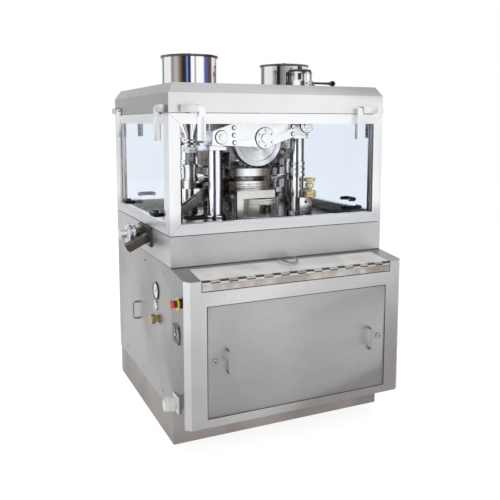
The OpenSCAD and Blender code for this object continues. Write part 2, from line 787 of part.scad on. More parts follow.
module main_shaft() {
    color("gray") {
        translate([0, 0, gear_z0 - 18]) cylinder(r = shaft_r, h = guide_z1 + 4 - gear_z0 + 18);
        // thrust collar above the deck and the locknut on top
        difference() {
            translate([0, 0, deck_z + clear]) cylinder(r = 66, h = 20);
            translate([0, 0, deck_z]) cylinder(r = shaft_r, h = 40);
        }
        difference() {
            translate([0, 0, guide_z1]) cylinder(r = 62, h = 24);
            translate([0, 0, guide_z1 - eps]) cylinder(r = shaft_r, h = 5 + eps);
        }
    }
}

module punch_guide() {
    color("silver") difference() {
        union() {
            translate([0, 0, guide_z0]) cylinder(r = turret_r, h = guide_z1 - guide_z0);
            translate([0, 0, die_z1]) cylinder(r = pitch_r - 35, h = guide_z0 - die_z1 + eps);
        }
        translate([0, 0, die_z1 - eps]) cylinder(r = shaft_r, h = guide_z1 - die_z1 + 2 * eps);
        at_stations() translate([0, 0, guide_z0 - eps])
            cylinder(r = punch_r + bore_gap, h = guide_z1 - guide_z0 + 2 * eps);
    }
}

module die_table() {
    low = deck_z + clear + 20;
    color("silver") difference() {
        union() {
            translate([0, 0, die_z0]) cylinder(r = turret_r, h = die_z1 - die_z0);
            translate([0, 0, lower_guide_z]) cylinder(r = turret_r - 14, h = die_z0 - lower_guide_z + eps);
            translate([0, 0, low]) cylinder(r = 70, h = lower_guide_z - low + eps);
        }
        translate([0, 0, low - eps]) cylinder(r = shaft_r, h = die_z1 - low + 2 * eps);
        at_stations() {
            translate([0, 0, lower_guide_z - eps])
                cylinder(r = punch_r + bore_gap, h = die_z1 - 22 - lower_guide_z);
            translate([0, 0, die_z1 - 30]) cylinder(r = tip_r + bore_gap, h = 30 + eps);
        }
        for (z = [die_z0 + 12, die_z0 + 26]) translate([0, 0, z]) difference() {
            cylinder(r = turret_r + 1, h = 3);
            translate([0, 0, -eps]) cylinder(r = turret_r - 3, h = 3 + 2 * eps);
        }
    }
}

module upper_punches() {
    color("lightgray") at_stations() {
        translate([0, 0, die_z1 + 12]) cylinder(r = tip_r, h = 14);
        translate([0, 0, die_z1 + 24]) cylinder(r = punch_r, h = head_z1 - 6 - die_z1 - 24);
        translate([0, 0, head_z1 - 8]) cylinder(r = punch_head_r, h = 8);
    }
}

module lower_punches() {
    color("lightgray") at_stations() {
        translate([0, 0, head_z0]) cylinder(r = punch_head_r, h = 7);
        translate([0, 0, head_z0 + 5]) cylinder(r = punch_r, h = die_z1 - 24 - head_z0 - 5);
        translate([0, 0, die_z1 - 26]) cylinder(r = tip_r, h = 24);
    }
}

// ---------- rollers, cams and housings ----------

// An upper roller on the front side, with a relieved web
module upper_roller() {
    difference() {
        bar_y(upper_roller_r, 0, upper_axis_z, -roller_y - upper_roller_w / 2,
              -roller_y + upper_roller_w / 2);
        bar_y(journal_r + fit, 0, upper_axis_z, -roller_y - upper_roller_w, -roller_y + upper_roller_w);
        for (s = [-1, 1]) difference() {
            bar_y(upper_roller_r - 26, 0, upper_axis_z, -roller_y + s * upper_roller_w / 2 - 6,
                  -roller_y + s * upper_roller_w / 2 + 6);
            bar_y(journal_r + 22, 0, upper_axis_z, -roller_y - upper_roller_w, -roller_y + upper_roller_w);
        }
    }
}

module lower_roller() {
    difference() {
        bar_y(lower_roller_r, 0, lower_axis_z, -roller_y - lower_roller_w / 2,
              -roller_y + lower_roller_w / 2);
        bar_y(lower_pin_r + fit, 0, lower_axis_z, -roller_y - lower_roller_w, -roller_y + lower_roller_w);
    }
}

module upper_roller_front() { color("gainsboro") upper_roller(); }
module upper_roller_rear() { color("gainsboro") rotate([0, 0, 180]) upper_roller(); }
module lower_roller_front() { color("darkkhaki") lower_roller(); }
module lower_roller_rear() { color("darkkhaki") rotate([0, 0, 180]) lower_roller(); }

// Drum-shaped housing of a lower roller, and the bridge guard in front of the die table
module roller_housing() {
    cheek = lower_roller_w / 2 + 2;
    translate([0, -roller_y, 0]) {
        difference() {
            union() {
                translate([0, 0, deck_z]) cylinder(r = drum_r + 6, h = 15);
                translate([0, 0, drum_z0 - eps]) cylinder(r = drum_r, h = drum_z1 - drum_z0 + eps);
            }
            translate([0, 0, drum_z0]) cylinder(r = drum_r - drum_wall, h = drum_z1 - drum_z0 - 8);
            box([-46, -cheek, drum_z1 - 9], [46, cheek, drum_z1 + eps]);
            box([-36, -drum_r - eps, drum_z0 + 31], [36, -drum_r / 2, drum_z0 + 79]);
        }
        for (s = [-1, 1]) difference() {
            box([-40, s > 0 ? cheek : -cheek - 10, drum_z0],
                [40, s > 0 ? cheek + 10 : -cheek, drum_z0 + 88]);
            bar_y(lower_pin_r, 0, lower_axis_z, -drum_r, drum_r);
        }
    }
}

module roller_housings() {
    color("silver") both_sides() {
        roller_housing();
        box([-170, -345, deck_z], [-135, -325, die_z0 + 2]);
        box([-170, -345, drum_z1 + 7], [47, -turret_r - 6, die_z0 + 2]);
    }
}

// A quarter-like arc of a ring between two radii, left and right of the rollers
module cam_arc(r0, r1, z0, z1) {
    difference() {
        translate([0, 0, z0]) cylinder(r = r1, h = z1 - z0);
        translate([0, 0, z0 - eps]) cylinder(r = r0, h = z1 - z0 + 2 * eps);
        box([-150, -r1 - eps, z0 - eps], [150, r1 + eps, z1 + eps]);
    }
}

module cam_tracks() {
    a = atan2(column_y, column_x);
    r = sqrt(column_x * column_x + column_y * column_y);
    color("dimgray") {
        difference() {
            union() {
                cam_arc(pitch_r - 27, turret_r - 4, head_z1 + 0.6, head_z1 + 78);
                // lugs that carry the upper cam from the columns
                for (q = [a, 180 - a, 180 + a, -a]) rotate([0, 0, q])
                    box([turret_r - 12, -14, head_z1 + 34], [r - 20, 14, head_z1 + 62]);
            }
            for (sx = [-1, 1], sy = [-1, 1]) translate([sx * column_x, sy * column_y, head_z1])
                cylinder(r = column_r + 0.1, h = 100);
        }
        cam_arc(pitch_r - 25, pitch_r + 30, head_z0 - 36, head_z0 - 0.6);
        // legs of the lower cam
        for (q = [-28, 28, 152, 208]) rotate([0, 0, q]) translate([pitch_r, 0, deck_z])
            cylinder(r = 11, h = head_z0 - 36 - deck_z);
    }
}

// ---------- feed and discharge ----------

// A feed frame on the die table with its down-pipe under a hopper, drawn along +X
module feeder() {
    z = die_z1 + clear;
    difference() {
        union() {
            box([pitch_r - 30, -70, z], [feeder_r + 46, 70, z + 8]);
            box([feeder_r - 46, -46, z - 33], [feeder_r + 46, 46, z]);
            translate([feeder_r, 0, z + 8]) cylinder(r = 39, h = 16);
            translate([feeder_r, 0, z + 24]) cylinder(r = 36, h = 54);
            translate([feeder_r, 0, z + 78]) cylinder(r = 40, h = 14);
            translate([feeder_r, 0, z + 92]) cylinder(r = 25, h = neck_z - feed_ring_h - z - 92);
        }
        translate([feeder_r, 0, z + 8]) cylinder(r = 19, h = neck_z - z);
        box([feeder_r - 19, -19, z + 3], [feeder_r + 19, 19, z + 8 + eps]);
        // pockets of the feed frame over the dies
        for (s = [-1, 1])
            box([pitch_r - 18, s > 0 ? 6 : -56, z - eps], [turret_r - 16, s > 0 ? 56 : -6, z + 8 + eps]);
    }
    // legs, set beside the chute
    for (x = [feeder_r - 50, feeder_r + 20]) translate([x, -60, deck_z]) cylinder(r = 9, h = z - deck_z);
    // plastic coupling ring under the hopper's outlet
    difference() {
        translate([feeder_r, 0, neck_z - feed_ring_h]) cylinder(r = 38, h = feed_ring_h);
        translate([feeder_r, 0, neck_z - feed_ring_h - eps]) cylinder(r = 19, h = feed_ring_h + 2 * eps);
    }
}

module feeders() {
    color("lightgray") {
        both_sides() rotate([0, 0, 180 + feeder_angle]) feeder();
        // block of the filling adjustment, in front of the right front column
        box([fill_x - 74, fill_y - 27, deck_z], [fill_x, fill_y + 26, fill_z - 62]);
        box([fill_x - 70, fill_y - 24, fill_z - 62], [fill_x - 4, fill_y + 24, fill_z - 58]);
        box([fill_x - 74, fill_y - 27, fill_z - 58], [fill_x, fill_y + 26, fill_z]);
    }
}

// Points of a chute's centre line: its outer end, the knee at the band and the mouth at the die table
mouth_x = -turret_r - 8;
mouth_z = chute_z + (half_w + mouth_x) * tan(chute_slope);
chute_end = [-half_w - chute_out, chute_z - chute_out * tan(spout_slope)];
chute_knee = [-half_w, chute_z];
chute_top = [mouth_x, mouth_z];
function slope_normal(a) = [-sin(a), cos(a)];
function knee_normal() = (slope_normal(chute_slope) + slope_normal(spout_slope))
    / (1 + slope_normal(chute_slope) * slope_normal(spout_slope));

// Side view of the left chute, half-height h, run on by d past both ends, with the tray at its mouth
module chute_side(h, d, tray) {
    e = chute_end - d * [cos(spout_slope), sin(spout_slope)];
    m = chute_top + d * [cos(chute_slope), sin(chute_slope)];
    polygon([
        e - h * slope_normal(spout_slope), chute_knee - h * knee_normal(),
        m - h * slope_normal(chute_slope), m + h * slope_normal(chute_slope),
        chute_knee + h * knee_normal(), e + h * slope_normal(spout_slope)
    ]);
    translate([mouth_x - 20 + tray, mouth_z - 26 + tray]) square([102, 48]);
}

// The left chute's side view given a width
module chute_body(w, h, d, tray) {
    translate([0, -chute_y + w, 0]) rotate([90, 0, 0]) linear_extrude(2 * w) chute_side(h, d, tray);
}

// Long slot in the chute's cover, through which the tablets are watched
module chute_slot() {
    start = chute_top - 84 * [cos(chute_slope), sin(chute_slope)];
    end = start - slot_l * [cos(chute_slope), sin(chute_slope)];
    up = chute_h * slope_normal(chute_slope);
    translate([0, -chute_y + slot_w / 2, 0]) rotate([90, 0, 0]) linear_extrude(slot_w)
        polygon([end, start, start + up, end + up]);
}

module discharge_chutes() {
    color("dimgray") both_sides() difference() {
        union() {
            chute_body(chute_w / 2 + 2, chute_h / 2, 0, 0);
            // mounting plate on the band, with its bolts
            translate([-half_w - 8, -chute_y - 72, band_top - 101]) cube([8, chute_y + 72, 100]);
            for (y = [-chute_y - 60, -12], z = [band_top - 91, band_top - 11])
                bar_x(6, y, z, -half_w - 13, -half_w - 8);
            // bearing of the adjusting dial
            bar_x(46, -dial_y, dial_z, -half_w - 18, -half_w - 8);
            bar_x(30, -dial_y, dial_z, -half_w - 46, -half_w - 18);
        }
        chute_body(chute_w / 2, chute_h / 2 - 2, 3, 2);
        chute_slot();
        translate([0, 0, mouth_z - 40]) cylinder(r = turret_r + 3, h = 100);
        bar_x(12 + fit, -dial_y, dial_z, -half_w - 46 - eps, -half_w - 12);
    }
    // blanking cap where the right side carries no dial
    color("silver") bar_x(26, dial_y, dial_z, half_w + 46, half_w + 56);
}

module adjusting_dial() {
    x = -half_w;
    color("silver") {
        bar_x(12, -dial_y, dial_z, x - 60, x - 14);
        bar_x(dial_r, -dial_y, dial_z, x - 84, x - 48);
        translate([x - 84, -dial_y, dial_z]) rotate([0, -90, 0])
            cylinder(r1 = dial_r, r2 = dial_r - 12, h = 8);
        bar_x(27, -dial_y, dial_z, x - dial_out, x - 90);
    }
}

module fill_knob() {
    color("wheat") translate([fill_x, fill_y, fill_z + clear]) {
        cylinder(r = 38, h = 36);
        cylinder(r = 14, h = 100);
        translate([0, 0, 52]) cylinder(r = 25, h = 24);
        translate([0, 0, 86]) cylinder(r = 34, h = 18);
    }
}

// ---------- pressure adjuster on the roof ----------

module adjuster_stand() {
    color("silver") translate([stand_x, -stand_y, roof_z]) {
        difference() {
            translate([-stand_w / 2, -stand_d / 2, 0]) cube([stand_w, stand_d, stand_h]);
            translate([16, -stand_d / 2, stand_h - 14]) rotate([90, 0, 0]) translate([0, 0, -12])
                cylinder(r = 5, h = 12 + eps);
        }
        for (sx = [-1, 1], sy = [-1, 1])
            translate([sx * 48, sy * 42, stand_h]) cylinder(r = 6, h = stand_top - stand_h);
        difference() {
            union() {
                translate([0, 0, stand_top]) cylinder(r = 62, h = 8);
                for (sx = [-1, 1], sy = [-1, 1])
                    translate([sx * 48, sy * 42, stand_top]) cylinder(r = 9, h = 8);
            }
            translate([0, 0, stand_top - eps]) cylinder(r = 10 + fit, h = 8 + 2 * eps);
        }
        // lug and pin of the locking lever
        translate([stand_w / 2, -16, 24]) cube([34, 32, 8]);
        translate([stand_w / 2 + 18, 0, 32]) cylinder(r = 6, h = 22);
    }
}

module pressure_handwheel() {
    color("dimgray") translate([stand_x, -stand_y, roof_z]) {
        z = stand_top + 8 + clear;
        translate([0, 0, 60]) cylinder(r = 10, h = z + 10 - 60);
        rotate_extrude() translate([wheel_rim_r, z + 7]) circle(r = 6.5);
        translate([0, 0, z]) cylinder(r = 22, h = 14);
        for (a = [90, 210, 330])
            rotate([0, 0, a]) translate([16, -6, z + 2]) cube([wheel_rim_r - 18, 12, 9]);
        translate([0, 0, z + 14]) cylinder(r1 = 22, r2 = 12, h = 26);
    }
}

module locking_lever() {
    color("dimgray") translate([stand_x + stand_w / 2 + 18, -stand_y, roof_z + 32 + clear]) difference() {
        union() {
            cylinder(r = 15, h = 18);
            bar_x(6.5, 0, 9, 10, lever_l - 20);
            translate([lever_l - 42, 0, 9]) rotate([0, 90, 0]) cylinder(r1 = 8, r2 = 15, h = 24);
            translate([lever_l - 14, 0, 9]) sphere(r = 17);
        }
        translate([0, 0, -eps]) cylinder(r = 6 + fit, h = 18 + 2 * eps);
    }
}

// ---------- instruments and controls on the left ----------

module side_instruments() {
    // emergency stop's base, yellow ring and collar
    stop_y = -half_d - stop_out;
    color("gold") difference() {
        union() {
            bar_x(22, stop_y, stop_z, -half_w - 14, -half_w);
            bar_x(30, stop_y, stop_z, -half_w - 18, -half_w - 14);
            bar_x(17, stop_y, stop_z, -half_w - 30, -half_w - 18);
        }
        bar_x(8 + fit, stop_y, stop_z, -half_w - 31, -half_w + eps);
    }
    // guard of the vent, three rings on a cross, with four screws
    color("gray") translate([-half_w, -half_d - 76, 581]) {
        for (r = [50, 36, 22]) difference() {
            bar_x(r, 0, 0, -8, -2);
            bar_x(r - 5, 0, 0, -9, -1);
        }
        for (a = [45, 135]) rotate([a, 0, 0]) translate([-6, -58, -3]) cube([6, 116, 6]);
        bar_x(10, 0, 0, -9, -2);
        for (a = [45 : 90 : 315]) rotate([a, 0, 0]) bar_x(4, 0, 54, -9, -6);
    }
    // power inlet
    color("white") translate([-half_w, -half_d - 70, 244]) {
        translate([-8, -40, -40]) cube([8, 80, 80]);
        bar_x(31, 0, 0, -54, -8);
        bar_x(34, 0, 0, -30, -8);
    }
    // two round sight gauges on the side panel
    color("ivory") for (g = [[-284, 708, 46], [-279, 631, 25]]) difference() {
        bar_x(g[2], g[0], g[1], -half_w - 7, -half_w);
        bar_x(g[2] - 5, g[0], g[1], -half_w - 8, -half_w - 4);
    }
}

module stop_button() {
    stop_y = -half_d - stop_out;
    color("red") {
        bar_x(8, stop_y, stop_z, -half_w - 40, -half_w - 2);
        bar_x(19, stop_y, stop_z, -half_w - 50, -half_w - 30 - stop_travel - clear);
    }
}

module relief_knob() {
    color("goldenrod") {
        bar_x(17, -300, 568, -half_w - 14, -half_w - clear);
        bar_x(25, -300, 568, -half_w - 39, -half_w - 14);
    }
}

// ---------- drive ----------

module worm_wheel() {
    color("peru") difference() {
        union() {
            translate([0, 0, wheel_z - 22]) cylinder(r = wheel_r, h = 44);
            translate([0, 0, wheel_z - 40]) cylinder(r = 72, h = 80);
        }
        translate([0, 0, wheel_z - 41]) cylinder(r = shaft_r, h = 82);
        for (i = [0 : wheel_teeth - 1]) rotate([0, 0, 360 / wheel_teeth * i])
            translate([wheel_r + 1, 0, wheel_z - 23]) cylinder(r = 4.5, h = 46);
    }
}

module worm_shaft() {
    color("silver") translate([0, worm_y, wheel_z]) rotate([0, 90, 0]) {
        translate([0, 0, -tunnel_x - 6]) cylinder(r = 18, h = tunnel_x + 6 + pulley_x + pulley_w);
        // worm: a core with its thread turned as ridges
        translate([0, 0, -66]) cylinder(r = worm_r - 7, h = 132);
        for (i = [-3 : 3]) translate([0, 0, i * 19 - 4]) cylinder(r = worm_r, h = 8);
        pulley(worm_pulley_r, 18);
    }
}

// A grooved pulley on a shaft, from pulley_x along the shaft's axis
module pulley(r, bore) {
    translate([0, 0, pulley_x]) difference() {
        cylinder(r = r, h = pulley_w);
        translate([0, 0, 6]) difference() {
            cylinder(r = r + 1, h = pulley_w - 12);
            translate([0, 0, -eps]) cylinder(r = r - 12, h = pulley_w);
        }
        translate([0, 0, -eps]) cylinder(r = bore, h = pulley_w + 2 * eps);
    }
}

module motor_pulley() {
    color("dimgray") translate([0, worm_y, motor_z]) rotate([0, 90, 0]) {
        translate([0, 0, 170]) cylinder(r = 14, h = pulley_x + pulley_w - 170);
        pulley(motor_pulley_r, 14);
    }
}

module drive_belt() {
    color("black") translate([pulley_x + 8, worm_y, 0]) rotate([90, 0, 90]) linear_extrude(pulley_w - 16)
        difference() {
            hull() {
                translate([0, wheel_z]) circle(r = worm_pulley_r - 12 + 0.5 + belt_t);
                translate([0, motor_z]) circle(r = motor_pulley_r - 12 + 0.5 + belt_t);
            }
            hull() {
                translate([0, wheel_z]) circle(r = worm_pulley_r - 12 + 0.5);
                translate([0, motor_z]) circle(r = motor_pulley_r - 12 + 0.5);
            }
        }
}

module motor() {
    color("steelblue") translate([0, worm_y, motor_z]) {
        difference() {
            union() {
                bar_x(motor_r, 0, 0, -90, 170);
                bar_x(motor_r - 18, 0, 0, -130, 200);
                for (i = [0 : 8]) bar_x(motor_r + 6, 0, 0, -76 + i * 28, -68 + i * 28);
                translate([0, -50, motor_r - 10]) cube([90, 100, 50]);
            }
            bar_x(14 + fit, 0, 0, 160, 201);
        }
        // stand that carries the motor on the plinth's floor
        difference() {
            translate([-80, -85, plinth_floor - motor_z]) cube([230, 170, motor_z - plinth_floor - 60]);
            bar_x(motor_r + 6, 0, 0, -90, 170);
            translate([-90, -60, plinth_floor - motor_z + 14])
                cube([250, 120, motor_z - plinth_floor - 130]);
        }
    }
}

module gearbox_housing() {
    top = band_bottom;
    color("slategray") difference() {
        union() {
            translate([0, 0, gear_z0 - gear_wall])
                cylinder(r = gear_in_r + gear_wall, h = top - gear_z0 + gear_wall);
            box([-tunnel_x, 60, wheel_z - tunnel_r - gear_wall],
                [tunnel_x, worm_y + tunnel_r + gear_wall, wheel_z + tunnel_r + gear_wall]);
        }
        translate([0, 0, gear_z0]) cylinder(r = gear_in_r, h = top - gear_wall - gear_z0);
        bar_x(tunnel_r, worm_y, wheel_z, -tunnel_x + gear_wall, tunnel_x - gear_wall);
        bar_x(18 + fit, worm_y, wheel_z, -tunnel_x - eps, tunnel_x + eps);
        translate([0, 0, gear_z0 - gear_wall - eps])
            cylinder(r = shaft_r + fit, h = top - gear_z0 + gear_wall + 2 * eps);
    }
}

plinth();
cabinet_frame();
side_panels();
rear_panel();
console_shell();
console_door();
console_door_fittings();
console_lid();
panel_fittings();
deck_base();
deck_plate();
corner_posts();
hood();
hinge_brackets();
front_door_frame();
rear_door_frame();
left_door_frame();
right_door_frame();
front_door_glass();
rear_door_glass();
left_door_glass();
right_door_glass();
front_door_pulls();
rear_door_pulls();
left_door_pulls();
right_door_pulls();
hopper_left();
hopper_right();
hopper_lid_left();
hopper_lid_right();
columns();
upper_frame();
roller_shafts();
main_shaft();
punch_guide();
die_table();
upper_punches();
lower_punches();
worm_wheel();
worm_shaft();
motor();
motor_pulley();
drive_belt();
gearbox_housing();
upper_roller_front();
upper_roller_rear();
lower_roller_front();
lower_roller_rear();
roller_housings();
cam_tracks();
feeders();
discharge_chutes();
adjusting_dial();
fill_knob();
adjuster_stand();
pressure_handwheel();
locking_lever();
side_instruments();
stop_button();
relief_knob();
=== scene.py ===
"""Dresses the double-sided rotary tablet press: finishes for its solids, and the pieces on them."""

from __future__ import annotations

import json
import logging
import math
from collections.abc import Callable, Iterable, Mapping, Sequence
from dataclasses import dataclass
from enum import Enum

import bmesh
import bpy
from mathutils import Euler, Matrix, Vector

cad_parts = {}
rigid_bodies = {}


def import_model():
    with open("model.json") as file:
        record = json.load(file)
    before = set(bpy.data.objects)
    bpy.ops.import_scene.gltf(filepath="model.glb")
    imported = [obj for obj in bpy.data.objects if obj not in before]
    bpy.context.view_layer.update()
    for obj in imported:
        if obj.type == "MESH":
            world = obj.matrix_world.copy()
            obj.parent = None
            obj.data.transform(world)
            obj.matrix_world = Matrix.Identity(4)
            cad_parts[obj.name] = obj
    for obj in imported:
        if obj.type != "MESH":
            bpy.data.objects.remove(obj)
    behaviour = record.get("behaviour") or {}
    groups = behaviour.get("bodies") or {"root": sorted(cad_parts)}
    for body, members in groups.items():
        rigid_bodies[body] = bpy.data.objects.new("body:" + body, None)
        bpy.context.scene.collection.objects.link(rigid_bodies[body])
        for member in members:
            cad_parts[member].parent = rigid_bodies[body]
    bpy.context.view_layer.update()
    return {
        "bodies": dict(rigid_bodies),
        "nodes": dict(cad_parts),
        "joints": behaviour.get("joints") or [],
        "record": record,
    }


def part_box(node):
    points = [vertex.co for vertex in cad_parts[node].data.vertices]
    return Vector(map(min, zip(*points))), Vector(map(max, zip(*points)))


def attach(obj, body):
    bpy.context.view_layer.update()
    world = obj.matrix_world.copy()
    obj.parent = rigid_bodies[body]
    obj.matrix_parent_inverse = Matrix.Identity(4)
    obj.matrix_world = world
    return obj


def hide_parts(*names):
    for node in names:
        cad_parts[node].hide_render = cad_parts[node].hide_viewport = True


LOG = logging.getLogger("tablet_press")
MM = 0.001
UP = (0, 0, 1)
LEFT = (-1, 0, 0)
HOPPER_AT = (352, 145)
Colour = tuple[float, float, float]
Triple = tuple[float, float, float]
Profile = list[tuple[float, float]]
Socket = bpy.types.NodeSocket
Mesh = bpy.types.Mesh


# ---------------------------------------------------------------- node trees


def srgb(colour: Colour) -> tuple[float, float, float, float]:
    """Turns a colour as it looks, 0 to 255, into the linear values that shaders use.

    Args:
        colour: red, green and blue from 0 to 255.

    Returns:
        The linear colour with full alpha.
    """

    def linear(level: float) -> float:
        """One channel as linear light."""
        share = level / 255
        return share / 12.92 if share <= 0.04045 else ((share + 0.055) / 1.055) ** 2.4

    return (linear(colour[0]), linear(colour[1]), linear(colour[2]), 1.0)


class Graph:
    """Adds nodes to a shader or geometry tree and links them by socket name."""

    def __init__(self, tree: bpy.types.NodeTree) -> None:
        """Keeps the tree that the nodes go into."""
        self.tree = tree

    def add(
        self, kind: str, inputs: Mapping[str | int, object] | None = None, **settings: object
    ) -> bpy.types.Node:
        """Adds one node.

        Args:
            kind: the node's type name.
            inputs: for each socket's name or number, a socket to link or a value to set.
            settings: the node's own properties.

        Returns:
            The new node.
        """
        node = self.tree.nodes.new(kind)
        for key, value in settings.items():
            setattr(node, key, value)
        for key, value in (inputs or {}).items():
            if isinstance(value, Socket):
                self.tree.links.new(value, node.inputs[key])
            else:
                node.inputs[key].default_value = value
        return node

    def effect(self, tree: bpy.types.NodeTree, inputs: Mapping[str | int, object]) -> Socket:
        """Places a shared effect and gives its first output's socket."""
        return self.add("ShaderNodeGroup", inputs, node_tree=tree).outputs[0]

    def maths(self, operation: str, first: object, second: object = 0.0, clamp: bool = False) -> Socket:
        """Works out one sum.

        Args:
            operation: the Math node's operation.
            first: a socket or a number.
            second: a socket or a number.
            clamp: whether the result is kept from 0 to 1.

        Returns:
            The result's socket.
        """
        return self.add(
            "ShaderNodeMath", {0: first, 1: second}, operation=operation, use_clamp=clamp
        ).outputs[0]

    def vector(self, operation: str, first: object, second: object = (0.0, 0.0, 0.0)) -> bpy.types.Node:
        """Works out one vector sum and gives its node."""
        inputs = {0: first} if operation in ("NORMALIZE", "SIGN") else {0: first, 1: second}
        return self.add("ShaderNodeVectorMath", inputs, operation=operation)

    def grey(self, level: Socket) -> Socket:
        """Makes a grey of a level."""
        return self.add("ShaderNodeCombineColor", {0: level, 1: level, 2: level}).outputs[0]

    def spread(self, value: object, low: float, high: float, to_low: float, to_high: float) -> Socket:
        """Maps a value from one range to another along a smooth step.

        Args:
            value: the socket that is mapped.
            low: where the step starts.
            high: where the step ends.
            to_low: the result below the step.
            to_high: the result above the step.

        Returns:
            The result's socket.
        """
        inputs = {"Value": value, "From Min": low, "From Max": high, "To Min": to_low, "To Max": to_high}
        return self.add("ShaderNodeMapRange", inputs, interpolation_type="SMOOTHSTEP").outputs["Result"]

    def blend(self, share: object, first: object, second: object, kind: str = "MIX") -> Socket:
        """Mixes two colours.

        Args:
            share: how much of the second colour shows.
            first: a socket or a linear colour.
            second: a socket or a linear colour.
            kind: the way of mixing.

        Returns:
            The mixed colour's socket.
        """
        inputs = {0: share, 6: first, 7: second}
        return self.add("ShaderNodeMix", inputs, data_type="RGBA", blend_type=kind).outputs[2]


def open_group(
    name: str, kind: str, sockets: Sequence[tuple[str, str, object]], results: Sequence[tuple[str, str]]
) -> Graph:
    """Starts a node group with named inputs and outputs.

    Args:
        name: the group's name.
        kind: ShaderNodeTree or GeometryNodeTree.
        sockets: name, socket type and default value of each input, None for no default.
        results: name and socket type of each output.

    Returns:
        The graph of the new group.
    """
    tree = bpy.data.node_groups.new(name, kind)
    for label, socket_type, default in sockets:
        socket = tree.interface.new_socket(name=label, in_out="INPUT", socket_type=socket_type)
        if default is not None:
            socket.default_value = default
    for label, socket_type in results:
        tree.interface.new_socket(name=label, in_out="OUTPUT", socket_type=socket_type)
    return Graph(tree)


# ---------------------------------------------------------------- shared shader effects


def grain_effect() -> bpy.types.NodeTree:
    """Long fine lines, as a belt or a lathe tool leaves on metal.

    Returns:
        The group; its Stretch input is how many lines lie along each axis in a metre.
    """
    name = "metal grain"
    if name in bpy.data.node_groups:
        return bpy.data.node_groups[name]
    graph = open_group(
        name,
        "ShaderNodeTree",
        [("Vector", "NodeSocketVector", None), ("Stretch", "NodeSocketVector", (60.0, 60.0, 900.0))],
        [("Grain", "NodeSocketFloat")],
    )
    entry = graph.add("NodeGroupInput")
    drawn = graph.vector("MULTIPLY", entry.outputs["Vector"], entry.outputs["Stretch"]).outputs[0]
    noise = graph.add("ShaderNodeTexNoise", {"Vector": drawn, "Scale": 1.0, "Detail": 4.0, "Roughness": 0.65})
    graph.add("NodeGroupOutput", {"Grain": noise.outputs[0]})
    return graph.tree


def cloud_effect() -> bpy.types.NodeTree:
    """Soft patches, as rolling and wiping leave on a sheet.

    Returns:
        The group; Mask runs from 0 to 1.
    """
    name = "sheet clouding"
    if name in bpy.data.node_groups:
        return bpy.data.node_groups[name]
    graph = open_group(
        name,
        "ShaderNodeTree",
        [("Vector", "NodeSocketVector", None), ("Scale", "NodeSocketFloat", 2.0)],
        [("Mask", "NodeSocketFloat")],
    )
    entry = graph.add("NodeGroupInput")
    inputs = {
        "Vector": entry.outputs["Vector"], "Scale": entry.outputs["Scale"], "Detail": 3.0, "Roughness": 0.5
    }
    noise = graph.add("ShaderNodeTexNoise", inputs)
    graph.add("NodeGroupOutput", {"Mask": graph.spread(noise.outputs[0], 0.33, 0.67, 0.0, 1.0)})
    return graph.tree


def marks_effect() -> bpy.types.NodeTree:
    """Sparse fine scratches and wiped smears.

    Returns:
        The group; Mask is high where the surface is marked.
    """
    name = "handling marks"
    if name in bpy.data.node_groups:
        return bpy.data.node_groups[name]
    graph = open_group(
        name,
        "ShaderNodeTree",
        [("Vector", "NodeSocketVector", None), ("Scale", "NodeSocketFloat", 1.0)],
        [("Mask", "NodeSocketFloat")],
    )
    entry = graph.add("NodeGroupInput")
    across = graph.vector("MULTIPLY", entry.outputs["Vector"], (9.0, 260.0, 40.0)).outputs[0]
    inputs = {"Vector": across, "Scale": entry.outputs["Scale"], "Detail": 2.0}
    scratch = graph.add("ShaderNodeTexNoise", inputs)
    inputs = {"Vector": entry.outputs["Vector"], "Scale": 11.0, "Detail": 5.0, "Distortion": 1.2}
    smear = graph.add("ShaderNodeTexNoise", inputs)
    fine = graph.spread(scratch.outputs[0], 0.62, 0.74, 0.0, 1.0)
    broad = graph.spread(smear.outputs[0], 0.52, 0.75, 0.0, 0.7)
    graph.add("NodeGroupOutput", {"Mask": graph.maths("MAXIMUM", fine, broad)})
    return graph.tree


def streak_effect() -> bpy.types.NodeTree:
    """Where a point of a round polished part lies across it, from 0 to 1, with a slight sway, to place
    painted reflections.

    Returns:
        The group; Keep is 1 on the two axes across the part and 0 along it.
    """
    name = "round streaks"
    if name in bpy.data.node_groups:
        return bpy.data.node_groups[name]
    graph = open_group(
        name,
        "ShaderNodeTree",
        [
            ("Vector", "NodeSocketVector", None),
            ("Centre", "NodeSocketVector", (0.0, 0.0, 0.0)),
            ("Keep", "NodeSocketVector", (1.0, 1.0, 0.0)),
            ("Across", "NodeSocketVector", (0.914, -0.407, 0.0)),
            ("Sway", "NodeSocketFloat", 0.03),
        ],
        [("Streak", "NodeSocketFloat")],
    )
    entry = graph.add("NodeGroupInput")
    offset = graph.vector("SUBTRACT", entry.outputs["Vector"], entry.outputs["Centre"]).outputs[0]
    flat = graph.vector("MULTIPLY", offset, entry.outputs["Keep"]).outputs[0]
    ray = graph.vector("NORMALIZE", flat).outputs[0]
    side = graph.vector("DOT_PRODUCT", ray, entry.outputs["Across"]).outputs["Value"]
    noise = graph.add("ShaderNodeTexNoise", {"Vector": entry.outputs["Vector"], "Scale": 9.0, "Detail": 2.0})
    sway = graph.maths("MULTIPLY", graph.maths("SUBTRACT", noise.outputs[0], 0.5), entry.outputs["Sway"])
    half = graph.maths("MULTIPLY", graph.maths("ADD", side, 1.0), 0.5)
    graph.add("NodeGroupOutput", {"Streak": graph.maths("ADD", half, sway, clamp=True)})
    return graph.tree


# ---------------------------------------------------------------- finishes


